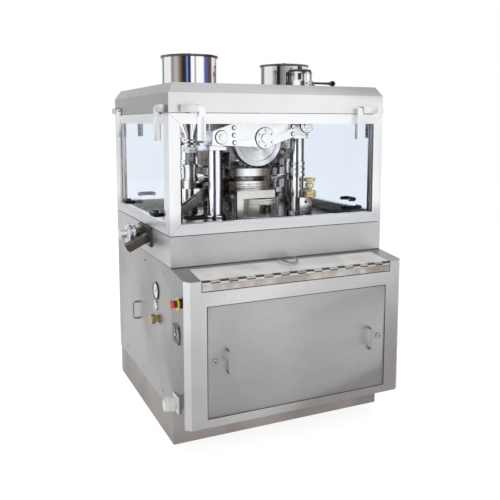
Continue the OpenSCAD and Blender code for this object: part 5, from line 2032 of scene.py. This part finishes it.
@dataclass
class Rollers:
    """The pressure rollers with their shafts, yokes, columns and cams."""

    frame: Mapping[str, object]
    roller_y: float = 205
    upper_z: float = 1455
    upper_r: float = 138
    width: float = 60
    bore: float = 28.05
    yoke_face: float = 320
    bearing_z: float = 1469
    column_x: float = 243
    column_y: float = 225
    column_r: float = 38
    deck_z: float = 1024
    low_top: float = 1434
    high_top: float = 1490
    guide_z: float = 1256
    drum_r: float = 125
    drum_screw_r: float = 129

    def build(self) -> None:
        """Dresses the nodes and adds rollers, columns and the screws of the yokes."""
        dress_node(self.frame, "upper_frame", Look.YOKE, 1.0, 24.0)
        dress_node(self.frame, "roller_shafts", Look.YOKE, 0.0, 32.0)
        dress_node(self.frame, "cam_tracks", Look.CAM)
        dress_node(self.frame, "roller_housings", Look.HOUSING, 0.0)
        dress_node(self.frame, "lower_roller_front", Look.LOWER_ROLLER)
        dress_node(self.frame, "lower_roller_rear", Look.LOWER_ROLLER)
        for name, side in (("front", -1), ("rear", 1)):
            wheel = Solid().turned(self.wheel_section(), (0, side * self.roller_y, self.upper_z), Axis.Y, 128)
            add_piece(
                f"pressure_wheel_{name}", wheel.mesh("pressure_wheel"), Look.ROLLER,
                f"pressure_roller_{name}", f"upper_roller_{name}",
            )
        add_piece("column_set", self.columns(), Look.COLUMN, "machine", "columns")
        add_piece("column_base_screws", self.base_screws(), Look.DARK, "machine")
        add_piece("column_caps", self.caps(), Look.YOKE, "machine")
        add_piece("yoke_outlines", self.outlines(), Look.INK, "machine")
        add_piece("drum_rings", self.drum_rings(), Look.BRIGHT, "machine")
        add_piece("drum_screws", self.drum_screws(), Look.DARK, "machine")

    def wheel_section(self) -> Profile:
        """An upper roller in section, with a relieved web on both faces.

        Returns:
            The section.
        """
        half, r = self.width / 2, self.upper_r
        section = [
            (self.bore, -half), (50, -half), (52, -half + 5), (110, -half + 5), (112, -half), (r, -half),
            (r, half), (112, half), (110, half - 5), (52, half - 5), (50, half), (self.bore, half),
        ]
        return eased(section, 1.6)

    def columns(self) -> Mesh:
        """The four columns: foot flange, ground bar and, on two of them, collars.

        Returns:
            The mesh.
        """
        solid = Solid()
        for sign in (-1, 1):
            for x, top, collared in ((1, self.low_top, False), (-1, self.high_top, True)):
                place = (sign * x * self.column_x, sign * self.column_y, 0)
                self.column(solid, place, top, collared)
        return solid.mesh("column_set")

    def column(self, solid: Solid, place: Triple, top: float, collared: bool) -> None:
        """Adds one column.

        Args:
            solid: what it is added to.
            place: the foot of its axis.
            top: height of its top.
            collared: whether it carries three collars.
        """
        foot, r = self.deck_z, self.column_r
        section = [
            (0, foot), (60, foot), (60, foot + 20), (57, foot + 22), (57, foot + 40), (54, foot + 44),
            (r, foot + 44), (r, top - 12), (0, top - 12),
        ]
        solid.turned(eased(section, 1.2, closed=False), place, segments=80)
        if collared:
            for step in range(3):
                low = self.guide_z + 30 * step
                ring = [(r - 1, low), (r + 6, low), (r + 6, low + 8), (r + 4, low + 9), (r + 4, low + 11)]
                ring += [(r + 6, low + 12), (r + 6, low + 20), (r - 1, low + 20)]
                solid.turned(eased(ring, 0.7), place, segments=64)

    def caps(self) -> Mesh:
        """The square block on top of each column.

        Returns:
            The mesh.
        """
        solid = Solid()
        for sx in (-1, 1):
            for sy in (-1, 1):
                x, y = sx * self.column_x, sy * self.column_y
                top = self.low_top if sx == sy else self.high_top
                solid.block((x - 45, y - 45, top - 26), (x + 45, y + 45, top), 2.5)
        return solid.mesh("column_caps")

    def base_screws(self) -> Mesh:
        """Six cap screws on each column's foot.

        Returns:
            The mesh.
        """
        spots = []
        for sx in (-1, 1):
            for sy in (-1, 1):
                foot = (sx * self.column_x, sy * self.column_y, self.deck_z + 44)
                spots += [(spot, UP) for spot in around(foot, 48, 6, 30)]
        return field_of("column_base_screws", cap_screw(4.2, 4), Look.DARK, spots)

    def outlines(self) -> Mesh:
        """Dark rings round the bearing caps and screws of the two yokes, for the gaps there and painted
        shadow round them; on the caps also a hub ring, a middle dot and six screw dots.

        Returns:
            The mesh.
        """
        caps = [(0, self.bearing_z, 54), (-245, self.low_top + 42, 33), (246, self.low_top + 100, 36)]
        caps += [
            (x, self.low_top + z, 9) for x, z in ((-176, 90), (-176, 52), (-173, 14), (165, 96), (166, 56))
        ]
        solid = Solid()
        for side in (-1, 1):
            for x, z, r in caps:
                # The outer ring stands for the gap and the painted shadow round the cap or screw.
                ring = [(r + 0.2, 0), (r + 3.6, 0), (r + 3.6, 0.8), (r + 0.2, 0.8)]
                hub = [(r * 0.34, 8), (r * 0.47, 8), (r * 0.47, 8.9), (r * 0.34, 8.9)]
                middle = [(0, 8), (r * 0.1, 8), (r * 0.1, 8.9), (0, 8.9)]
                is_cap = r > 20
                for section in (ring, hub, middle) if is_cap else (ring,):
                    turned = [(radius, side * h) for radius, h in section]
                    solid.turned(turned, (-side * x, side * self.yoke_face, z), Axis.Y, 56)
                face = (-side * x, side * (self.yoke_face + 8), z)
                for dot in around(face, 0.76 * r, 6, 0, Axis.Y) if is_cap else ():
                    solid.turned([(0, -1), (r * 0.1, -1), (r * 0.1, 1), (0, 1)], dot, Axis.Y, 14)
        return solid.mesh("yoke_outlines")

    def drum_rings(self) -> Mesh:
        """Polished bands round the two drums that house the lower rollers.

        Returns:
            The mesh.
        """
        solid = Solid()
        for side in (-1, 1):
            for low, tall in ((1040, 14), (1122, 9), (1140, 9)):
                r, high = self.drum_r, low + tall
                ring = [(r, low), (r + 4.5, low), (r + 4.5, high), (r, high)]
                solid.turned(eased(ring, 1.3), (0, side * self.roller_y, 0), segments=112)
        return solid.mesh("drum_rings")

    def drum_screws(self) -> Mesh:
        """Cap screws on the drums' foot flanges.

        Returns:
            The mesh.
        """
        spots = []
        for side in (-1, 1):
            flange = (0, side * self.roller_y, self.deck_z + 15)
            spots += [(spot, UP) for spot in around(flange, self.drum_screw_r, 10, 18)]
        return field_of("drum_screws", cap_screw(3, 3), Look.DARK, spots)


# ---------------------------------------------------------------- feed and discharge


@dataclass
class Feeding:
    """Feed frames with their down-pipes, the filling knob and the discharge chutes."""

    frame: Mapping[str, object]
    x: float = HOPPER_AT[0]
    y: float = HOPPER_AT[1]
    table_z: float = 1238.3
    neck_z: float = 1424
    frame_r: float = 425
    knob_x: float = 274
    knob_y: float = -313
    knob_z: float = 1147.3

    def build(self) -> None:
        """Dresses the nodes and adds the pieces round the pipes."""
        dress_node(self.frame, "feeders", Look.FEED, 0.0, 32.0)
        dress_node(self.frame, "discharge_chutes", Look.CHUTE, 0.0, 24.0)
        add_piece("coupling_rings", self.both(self.coupling), Look.WHITE, "machine")
        add_piece("feed_springs", self.both(self.spring), Look.SHAFT, "machine")
        add_piece("feed_clamps", self.both(self.clamp), Look.FEED, "machine")
        add_piece("feed_flange_screws", self.flange_screws(), Look.DARK, "machine")
        add_piece("fill_knob_grip", self.fill_grip(), Look.BRASS, "knob_fill", "fill_knob")
        add_piece("fill_knob_rings", self.fill_rings(), Look.CREAM, "knob_fill", "fill_knob")
        add_piece("fill_knob_screws", self.fill_screws(), Look.BRIGHT, "knob_fill")
        add_piece("fill_block_seam", self.block_seam(), Look.DARK, "machine")

    def both(self, maker: Callable[[Solid, int], None]) -> Mesh:
        """Makes a part on both down-pipes.

        Args:
            maker: adds the part to a solid, given the side's sign.

        Returns:
            The mesh.
        """
        solid = Solid()
        for sign in (-1, 1):
            maker(solid, sign)
        return solid.mesh("feed_part")

    def coupling(self, solid: Solid, sign: int) -> None:
        """A soft ring between hopper and pipe, with two grooves.

        Args:
            solid: what it is added to.
            sign: the side's sign.
        """
        top = self.neck_z - 0.3
        section = [
            (20, top - 29.4), (37, top - 29.4), (38.6, top - 27.4), (38.6, top - 20), (37, top - 19),
            (37, top - 16), (38.6, top - 15), (38.6, top - 2), (37, top), (20, top),
        ]
        solid.turned(eased(section, 0.8), (sign * self.x, sign * self.y, 0), segments=72)

    def spring(self, solid: Solid, sign: int) -> None:
        """A coil spring round the pipe.

        Args:
            solid: what it is added to.
            sign: the side's sign.
        """
        low, turns, steps, rise = self.table_z + 96, 9, 22, 6.2
        path = []
        for step in range(turns * steps + 1):
            angle = 2 * math.pi * step / steps
            height = low + rise * step / steps
            path.append(
                Vector((sign * self.x + 28 * math.cos(angle), sign * self.y + 28 * math.sin(angle), height))
            )
        solid.rod(path, 2, 8)

    def clamp(self, solid: Solid, sign: int) -> None:
        """The clamp under the hopper's cone: a band, a narrow ring above it and four nuts.

        Args:
            solid: what it is added to.
            sign: the side's sign.
        """
        centre = (sign * self.x, sign * self.y, 0)
        low = self.neck_z + 8
        band = [(31.4, low), (40, low), (42, low + 3), (42, low + 11), (40, low + 14), (31.4, low + 14)]
        solid.turned(eased(band, 1), centre, segments=64)
        upper = [(31.4, low + 24), (36, low + 24), (36, low + 30), (31.4, low + 30)]
        solid.turned(eased(upper, 0.8), centre, segments=64)
        nut = [(0, 0), (7, 0), (8, 1.5), (8, 13), (6, 15), (3.5, 15), (3.5, 22), (0, 22)]
        for spot in around((sign * self.x, sign * self.y, low - 2), 46, 4, 45):
            solid.turned(nut, spot, segments=12)

    def flange_screws(self) -> Mesh:
        """Cap screws on the pipe's two flanges.

        Returns:
            The mesh.
        """
        spots = []
        for sign in (-1, 1):
            x, y = sign * self.x, sign * self.y
            upper = around((x, y, self.table_z + 92), 33, 6)
            lower = around((x, y, self.table_z + 8), 58, 6)
            spots += [(spot, UP) for spot in upper + lower if spot.xy.length < self.frame_r]
        return field_of("feed_flange_screws", cap_screw(3.4, 3.4), Look.DARK, spots)

    def knob_at(self) -> Triple:
        """The foot of the filling knob."""
        return (self.knob_x, self.knob_y, self.knob_z)

    def fill_grip(self) -> Mesh:
        """The brass discs and stem of the filling knob.

        Returns:
            The mesh.
        """
        lower = [
            (0, 0), (36, 0), (38, 2), (38, 12), (36, 13), (36, 16), (38, 17), (38, 31), (35, 35), (14, 36),
            (0, 36),
        ]
        stem = [(0, 34), (13, 34), (13, 90), (0, 90)]
        upper = [(0, 92), (30, 92), (34, 95), (34, 101), (31, 104), (12, 104), (10, 102), (0, 102)]
        solid = Solid()
        for section in (lower, stem, upper):
            solid.turned(eased(section, 1, closed=False), self.knob_at(), segments=72)
        return solid.mesh("fill_knob_grip")

    def fill_rings(self) -> Mesh:
        """The pale ring halfway up and the pale band under the top disc.

        Returns:
            The mesh.
        """
        middle = [
            (0, 50), (22, 50), (25, 53), (25, 60), (23.6, 61.5), (23.6, 64.5), (25, 66), (25, 73), (22, 76),
            (0, 76),
        ]
        band = [(0, 85), (31, 85), (33, 87), (33, 91), (31, 92.5), (0, 92.5)]
        solid = Solid()
        for section in (middle, band):
            solid.turned(eased(section, 0.8, closed=False), self.knob_at(), segments=72)
        return solid.mesh("fill_knob_rings")

    def fill_screws(self) -> Mesh:
        """Six screws on the lower disc."""
        centre = (self.knob_x, self.knob_y, self.knob_z + 35)
        return ring_of("fill_knob_screws", cap_screw(3.6, 3), Look.BRIGHT, 6, 27, centre)

    def block_seam(self) -> Mesh:
        """A clamp screw with its washer on the front of the filling block.

        Returns:
            The mesh.
        """
        place = (self.knob_x - 37, self.knob_y - 27, self.knob_z - 24)
        solid = Solid().turned(
            [(0, 1), (8, 1), (8, -1), (5.5, -1.4), (5.5, -4.4), (0, -4.4)], place, Axis.Y, 32
        )
        return solid.mesh("fill_block_seam")


# ---------------------------------------------------------------- controls on the left


@dataclass
class SideControls:
    """Emergency stop, vent, power inlet, gauges, relief knob and the big adjusting dial."""

    machine: Machine
    stop_y: float = -668
    stop_z: float = 741
    vent_y: float = -606
    vent_z: float = 581
    inlet_y: float = -600
    inlet_z: float = 244
    dial_y: float = -58
    dial_z: float = 969
    dial_r: float = 52
    relief_y: float = -300
    relief_z: float = 568
    gauge_at: tuple[float, float] = (-284, 708)
    small_gauge_at: tuple[float, float] = (-279, 631)

    def __post_init__(self) -> None:
        """Finds the side's face."""
        self.x = -self.machine.half_w

    def round(self, section: Profile, y: float, z: float, segments: int = 64) -> Solid:
        """Turns a section that stands out from the left side.

        Args:
            section: radius and distance out from the side.
            y: place of the axis.
            z: height of the axis.
            segments: how many sides the round has.

        Returns:
            The solid.
        """
        return Solid().turned([(r, -out) for r, out in section], (self.x, y, z), Axis.X, segments)

    def build(self) -> None:
        """Adds the pieces."""
        stop = (self.stop_y, self.stop_z)
        base = [(8.2, 0), (22, 0), (22, 13), (20, 14), (8.2, 14)]
        ring = [(8.2, 14), (29, 14), (30, 15), (30, 17), (28.6, 18), (8.2, 18)]
        collar = [(8.2, 18), (16, 18), (17, 19), (17, 29), (15, 30), (8.2, 30)]
        parts = (
            ("stop_base", eased(base, 0.8), Look.DARK),
            ("stop_ring", eased(ring, 0.6), Look.YELLOW),
            ("stop_collar", eased(collar, 0.8), Look.COLLAR),
        )
        for name, section, look in parts:
            add_piece(name, self.round(section, *stop).mesh(name), look, "machine", "side_instruments")
        head = [
            (0, 2), (7.9, 2), (7.9, 34.4), (17.5, 34.4), (19, 36), (19, 44), (17.6, 47.5), (13, 49.4),
            (6, 50), (0, 50),
        ]
        mesh = self.round(eased(head, 0.8, closed=False), *stop).mesh("stop_head")
        add_piece("stop_head", mesh, Look.RED, "button_stop", "stop_button")
        self.add_vent()
        self.add_inlet()
        self.add_gauges()
        self.add_relief()
        self.add_dial()

    def add_vent(self) -> None:
        """The fan guard: wire rings on a cross, with a fan hub and blades behind it."""
        guard = Solid()
        y, z = self.vent_y, self.vent_z
        for r in (48, 39, 30, 21):
            guard.rod(around((self.x - 5, y, z), r, 48, 0, Axis.X), 1.7, 8, closed=True)
        spokes = (self.x - 3.4, y, z)
        for inner, outer in zip(around(spokes, 9, 4, 45, Axis.X), around(spokes, 58, 4, 45, Axis.X)):
            guard.rod([inner, outer], 2.4, 10)
        guard.turned([(0, -9), (9, -9), (10, -7.6), (10, -2), (0, -2)], (self.x, y, z), Axis.X, 32)
        add_piece("vent_guard", guard.mesh("vent_guard"), Look.PULL, "machine", "side_instruments")
        spots = [(spot, LEFT) for spot in around((self.x - 5.6, y, z), 54, 4, 45, Axis.X)]
        screws = field_of("vent_screws", screw_head(4, 2.6, 1.3), Look.DARK, spots)
        add_piece("vent_screws", screws, Look.DARK, "machine")
        blade = Solid().plate(
            [(-3, 10), (9, 14), (15, 30), (8, 40), (-6, 39), (-9, 24)], Axis.Z, -0.7, 0.7, 0.3
        )
        blade.moved(Matrix.Rotation(math.radians(28), 4, "Y") @ Matrix.Rotation(math.radians(-90), 4, "Z"))
        fan = ring_of("vent_fan", blade, Look.BLACK, 5, 0.5, (self.x + 10, y, z), (0, -90, 0))
        add_piece("vent_fan", fan, Look.BLACK, "machine")

    def add_inlet(self) -> None:
        """The covered power inlet: square plate, socket body, collar and hinged cover."""
        place = (self.inlet_y, self.inlet_z)
        solid = self.round(
            eased([(0, 8), (34, 8), (34, 28), (32, 30), (31, 30), (31, 50), (28, 54), (0, 54)], 1.4, False),
            *place,
        )
        y, z = place
        solid.block((self.x - 8, y - 40, z - 40), (self.x, y + 40, z + 40), 2)
        solid.block((self.x - 52, y - 12, z + 28), (self.x - 26, y + 12, z + 38), 2)
        solid.turned([(0, -10), (28, -10), (28, 0), (26, 1), (0, 1)], (self.x - 53, y, z), Axis.X, 48)
        add_piece("power_inlet", solid.mesh("power_inlet"), Look.WHITE, "machine", "side_instruments")
        spots = []
        for sy in (-1, 1):
            for sz in (-1, 1):
                spots.append(((self.x - 8, y + sy * 33, z + sz * 33), LEFT))
        screws = field_of("inlet_screws", screw_head(3.6, 2.2, 1.2), Look.BRIGHT, spots)
        add_piece("inlet_screws", screws, Look.BRIGHT, "machine")

    def add_gauges(self) -> None:
        """Two round instruments: bezel, white face with strokes, and a hand on the large one."""
        for name, (y, z), r, look in (
            ("large", self.gauge_at, 46, Look.DARK), ("small", self.small_gauge_at, 25, Look.BRIGHT)
        ):
            bezel = [(r - 5, 0), (r, 0), (r, 5), (r - 2, 7), (r - 5, 6.4), (r - 6, 4)]
            mesh = self.round(eased(bezel, 0.7), y, z).mesh(f"gauge_bezel_{name}")
            add_piece(f"gauge_bezel_{name}", mesh, look, "machine", "side_instruments")
            face = self.round([(0, 0.2), (r - 4.6, 0.2), (r - 4.6, 3.4), (0, 3.6)], y, z)
            add_piece(
                f"gauge_face_{name}", face.mesh(f"gauge_face_{name}"), Look.DIAL_WHITE, "machine",
                "side_instruments",
            )
            stroke = Solid().block((-3.2, -0.4, 0), (0, 0.4, 0.3), 0.1)
            count = 24 if name == "large" else 12
            mesh = ring_of(
                f"gauge_strokes_{name}", stroke, Look.BLACK, count, r - 7, (self.x - 3.5, y, z), (0, -90, 0)
            )
            add_piece(f"gauge_strokes_{name}", mesh, Look.BLACK, "machine")
        middle = (self.x, *self.gauge_at)
        turn = Matrix.Translation(middle) @ Matrix.Rotation(math.radians(40), 4, "X")
        hand = Solid().block((-4.9, -0.9, -9), (-4.1, 0.9, 30), 0.3, turn)
        hand.turned([(0, -3.4), (4, -3.4), (4, -5), (0, -5.4)], middle, Axis.X, 24)
        add_piece("gauge_hand", hand.mesh("gauge_hand"), Look.BLACK, "machine")

    def add_relief(self) -> None:
        """A brass knob with a ribbed grip."""
        place = (self.relief_y, self.relief_z)
        section = [
            (0, 0.4), (17, 0.4), (17, 12), (15, 14), (24, 15), (24, 36), (21, 39), (8, 39), (7, 37.6),
            (0, 37.6),
        ]
        mesh = self.round(eased(section, 0.9, closed=False), *place).mesh("relief_grip")
        add_piece("relief_grip", mesh, Look.BRASS, "knob_relief", "relief_knob")
        rib = Solid().block((-0.8, -1, -9), (0.9, 1, 9), 0.4)
        ribs = ring_of("relief_ribs", rib, Look.BRASS, 30, 24, (self.x - 25.5, *place), (0, -90, 0))
        add_piece("relief_ribs", ribs, Look.BRASS, "knob_relief")

    def add_dial(self) -> None:
        """The adjusting dial: graduated drum, ribbed rim, hub and stem."""
        place = (self.dial_y, self.dial_z)
        r = self.dial_r
        section = [
            (0, 14.5), (11.9, 14.5), (11.9, 48), (r - 3, 48), (r, 51), (r, 60), (r - 2.4, 62), (r - 2.4, 66),
            (r, 68), (r, 83), (r - 4, 86), (r - 12, 92), (29, 92), (27, 94), (27, 124), (23, 130), (12, 130),
            (10, 127), (0, 127),
        ]
        mesh = self.round(eased(section, 0.9, closed=False), *place, 96).mesh("dial_drum")
        add_piece("dial_drum", mesh, Look.DIAL, "dial", "adjusting_dial")
        stroke = Solid().block((-0.2, -0.45, -4), (0.25, 0.45, 4), 0.1)
        strokes = ring_of("dial_strokes", stroke, Look.BLACK, 50, r, (self.x - 55.5, *place), (0, -90, 0))
        add_piece("dial_strokes", strokes, Look.BLACK, "dial")
        rib = Solid().block((-1.2, -0.9, -6.5), (0.6, 0.9, 6.5), 0.4)
        ribs = ring_of("dial_ribs", rib, Look.DARK, 72, r - 0.4, (self.x - 75.5, *place), (0, -90, 0))
        add_piece("dial_ribs", ribs, Look.DARK, "dial")


# ---------------------------------------------------------------- pressure adjuster on the roof


@dataclass
class RoofAdjuster:
    """The stand on the roof with its handwheel and locking lever."""

    frame: Mapping[str, object]
    x: float = 336
    y: float = -80
    roof: float = 1735
    top: float = 92
    rim_r: float = 60
    lever_x: float = 410
    lever_l: float = 159

    def build(self) -> None:
        """Adds the pieces."""
        dress_node(self.frame, "adjuster_stand", Look.STAND, 0.0, 32.0)
        add_piece("adjuster_wheel", self.wheel(), Look.IRON, "handwheel", "pressure_handwheel")
        add_piece("adjuster_wheel_hub", self.hub(), Look.IRON, "handwheel", "pressure_handwheel")
        add_piece("adjuster_lever", self.lever(), Look.IRON, "lever", "locking_lever")
        add_piece("adjuster_lever_ball", self.ball(), Look.BLACK, "lever", "locking_lever")
        centre = (self.x, self.y, self.roof + self.top + 8)
        nuts = ring_of("adjuster_nuts", cap_screw(5, 4.5), Look.DARK, 4, 64, centre, phase=41)
        add_piece("adjuster_nuts", nuts, Look.DARK, "machine")

    def wheel(self) -> Mesh:
        """The handwheel's rim and three spokes.

        Returns:
            The mesh.
        """
        centre = Vector((self.x, self.y, self.roof + self.top + 15.4))
        solid = Solid().rod(around(centre, self.rim_r, 72), 6.4, 14, closed=True)
        for way in around((0, 0, 0), 1, 3, 90):
            spoke = [
                centre + way * reach + Vector((0, 0, lift)) for reach, lift in ((18, 1), (38, 2), (57, 0))
            ]
            solid.rod(smooth_path(spoke), 5, 12)
        return solid.mesh("adjuster_wheel")

    def hub(self) -> Mesh:
        """The handwheel's hub, its nut and the spindle under it.

        Returns:
            The mesh.
        """
        z = self.top + 8.3
        section = [
            (0, 60), (9.9, 60), (9.9, z), (20, z), (22, z + 2), (22, z + 13), (19, z + 16), (14, z + 18),
            (12, z + 34), (10, z + 39), (0, z + 40),
        ]
        place = (self.x, self.y, self.roof)
        return Solid().turned(
            eased(section, 0.9, closed=False), place, segments=48
        ).mesh("adjuster_wheel_hub")

    def lever(self) -> Mesh:
        """The locking lever: a bored hub and a bar that swells towards its ball.

        Returns:
            The mesh.
        """
        z = self.roof + 32.3
        ring = [(6.1, 0), (13.5, 0), (15, 1.5), (15, 16.5), (13.5, 18), (6.1, 18)]
        solid = Solid().turned(eased(ring, 0.6), (self.lever_x, self.y, z), segments=40)
        reach = self.lever_l
        points = ((11, 6.5), (40, 6.2), (80, 6.4), (reach - 44, 7.6), (reach - 30, 10.5), (reach - 19, 13))
        path = [Vector((self.lever_x + d, self.y, z + 9)) for d, _ in points]
        return solid.rod(path, [r for _, r in points], 20).mesh("adjuster_lever")

    def ball(self) -> Mesh:
        """The lever's black ball.

        Returns:
            The mesh.
        """
        section = []
        for step in range(13):
            angle = math.radians(-90 + 15 * step)
            section.append((max(16.9 * math.cos(angle), 0), 16.9 * math.sin(angle)))
        place = (self.lever_x + self.lever_l - 14, self.y, self.roof + 41.3)
        return Solid().turned(section, place, Axis.X, 36).mesh("adjuster_lever_ball")


# ---------------------------------------------------------------- drive inside the cabinet


@dataclass
class Drive:
    """Motor, belt, worm and gearbox, which stand behind the pull-off door."""

    frame: Mapping[str, object]
    worm_y: float = 182.3
    wheel_z: float = 778
    motor_z: float = 330
    gearbox_face: float = -190
    fan_face: float = -130.2
    box_rise: float = 135

    def build(self) -> None:
        """Dresses the nodes and adds the gearbox screws, the fan cover's slots and the screws on the terminal
        box's lid.
        """
        for node, look in (
            ("worm_shaft", Look.SHAFT),
            ("motor", Look.MOTOR),
            ("motor_pulley", Look.DARK),
            ("drive_belt", Look.RUBBER),
            ("gearbox_housing", Look.CAST),
        ):
            dress_node(self.frame, node, look)
        middle = (self.gearbox_face, self.worm_y, self.wheel_z)
        ring = ring_of("gearbox_screws", cap_screw(5, 5), Look.DARK, 8, 52, middle, (0, -90, 0))
        add_piece("gearbox_screws", ring, Look.DARK, "machine")
        slot = Solid().block((-14, -1.4, -0.6), (10, 1.4, 0.8), 0.4)
        middle = (self.fan_face, self.worm_y, self.motor_z)
        slots = ring_of("motor_fan_slots", slot, Look.BLACK, 18, 50, middle, (0, -90, 0))
        add_piece("motor_fan_slots", slots, Look.BLACK, "machine")
        spots = []
        for x in (6, 84):
            for y in (-44, 44):
                spots.append(((x, self.worm_y + y, self.motor_z + self.box_rise), UP))
        lid = field_of("motor_box_screws", screw_head(4, 2.6, 1.4), Look.BRIGHT, spots)
        add_piece("motor_box_screws", lid, Look.BRIGHT, "machine")


# ---------------------------------------------------------------- studio


@dataclass
class Studio:
    """Floor, background, lamps and camera."""

    camera_at: Triple = (-1.479, -3.369, 1.552)
    yaw: float = 24.55
    pitch: float = 6.88
    lens: float = 46.4
    rise: float = -0.10

    def build(self) -> None:
        """Sets the scene."""
        scene = bpy.context.scene
        scene.view_settings.view_transform = "Standard"
        self.add_floor()
        self.add_world()
        self.add_lamp("key", (2.6, -4.2, 4.2), 3.2, 90)
        self.add_lamp("fill", (-4.6, -2.2, 3.0), 3.0, 34)
        self.add_lamp("top", (0.0, 0.6, 5.2), 3.6, 70)
        self.add_lamp("rear", (1.2, 4.6, 3.4), 3.0, 40)
        lens = bpy.data.cameras.new("camera")
        lens.lens = self.lens
        lens.sensor_width = 36
        lens.shift_y = self.rise
        camera = bpy.data.objects.new("camera", lens)
        camera.location = self.camera_at
        camera.rotation_euler = Euler((math.radians(90 - self.pitch), 0, math.radians(-self.yaw)))
        scene.collection.objects.link(camera)
        scene.camera = camera

    @staticmethod
    def add_lamp(name: str, place: Triple, size: float, power: float) -> None:
        """Adds a soft square lamp that faces the machine's middle.

        Args:
            name: the lamp's name.
            place: where it is, in metres.
            size: its side, in metres.
            power: its power, in watts.
        """
        light = bpy.data.lights.new(name, "AREA")
        light.shape = "SQUARE"
        light.size = size
        light.energy = power
        lamp = bpy.data.objects.new(name, light)
        lamp.location = place
        way = Vector((0, 0, 1.0)) - Vector(place)
        lamp.rotation_euler = way.to_track_quat("-Z", "Y").to_euler()
        lamp.visible_glossy = False
        lamp.visible_camera = False
        bpy.context.scene.collection.objects.link(lamp)

    @staticmethod
    def add_floor() -> None:
        """A round white floor that keeps the machine's soft shadow."""
        mesh = bpy.data.meshes.new("floor")
        bm = bmesh.new()
        bmesh.ops.create_circle(bm, cap_ends=True, segments=96, radius=14)
        bm.to_mesh(mesh)
        bm.free()
        floor = bpy.data.objects.new("floor", mesh)
        floor.location = (0, 0, -0.0005)
        bpy.context.scene.collection.objects.link(floor)
        material = bpy.data.materials.new("pale floor")
        material.use_nodes = True
        material.node_tree.nodes.clear()
        graph = Graph(material.node_tree)
        matt = graph.add("ShaderNodeBsdfDiffuse", {"Color": (0.9, 0.9, 0.9, 1.0)})
        white = graph.add("ShaderNodeEmission", {"Color": (1.0, 1.0, 1.0, 1.0), "Strength": 1.16})
        path = graph.add("ShaderNodeLightPath")
        seen = graph.maths("MAXIMUM", path.outputs["Is Camera Ray"], path.outputs["Is Transmission Ray"])
        seen = graph.maths("MAXIMUM", seen, path.outputs["Is Glossy Ray"])
        share = graph.maths("MULTIPLY", seen, 0.75)
        mixed = graph.add("ShaderNodeMixShader", {0: share, 1: matt.outputs[0], 2: white.outputs[0]})
        graph.add("ShaderNodeOutputMaterial", {"Surface": mixed.outputs[0]})
        mesh.materials.append(material)

    @staticmethod
    def add_world() -> None:
        """A white surround: plain white as seen and through glass, softly graded in reflections."""
        world = bpy.data.worlds.new("surround")
        world.use_nodes = True
        world.node_tree.nodes.clear()
        graph = Graph(world.node_tree)
        path = graph.add("ShaderNodeLightPath")
        way = graph.add("ShaderNodeTexCoord").outputs["Generated"]
        left = graph.vector("DOT_PRODUCT", way, (-0.92, 0.35, 0.1)).outputs["Value"]
        level = graph.spread(left, -0.1, 0.95, 1.0, 0.82)
        right = graph.vector("DOT_PRODUCT", way, (0.97, 0.1, 0.1)).outputs["Value"]
        level = graph.maths("MULTIPLY", level, graph.spread(right, 0.35, 0.95, 1.0, 0.88))
        soft = graph.add("ShaderNodeBackground", {"Color": graph.grey(level), "Strength": 1.0})
        white = graph.add("ShaderNodeBackground", {"Color": (1.0, 1.0, 1.0, 1.0), "Strength": 1.0})
        dim = graph.add("ShaderNodeBackground", {"Color": (1.0, 1.0, 1.0, 1.0), "Strength": 0.62})
        seen = graph.maths("MAXIMUM", path.outputs["Is Camera Ray"], path.outputs["Is Transmission Ray"])
        lit = graph.add(
            "ShaderNodeMixShader", {0: path.outputs["Is Glossy Ray"], 1: dim.outputs[0], 2: soft.outputs[0]}
        )
        mixed = graph.add("ShaderNodeMixShader", {0: seen, 1: lit.outputs[0], 2: white.outputs[0]})
        graph.add("ShaderNodeOutputWorld", {"Surface": mixed.outputs[0]})
        bpy.context.scene.world = world


# ---------------------------------------------------------------- the whole machine


def main() -> None:
    """Loads the frame, dresses it and adds every piece."""
    logging.basicConfig(level=logging.INFO, format="%(message)s")
    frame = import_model()
    machine = Machine.measured()
    Studio().build()
    Cabinet(frame, machine).build()
    Console(frame, machine).build()
    for side in Side:
        GlassDoor(frame, machine, side).build()
    x, y = HOPPER_AT
    Hopper("left", -x, -y, Look.HOPPER_LEFT).build()
    Hopper("right", x, y, Look.HOPPER_RIGHT).build()
    Turret(frame).build()
    Rollers(frame).build()
    Feeding(frame).build()
    SideControls(machine).build()
    RoofAdjuster(frame).build()
    Drive(frame).build()


if __name__ == "__main__":
    main()
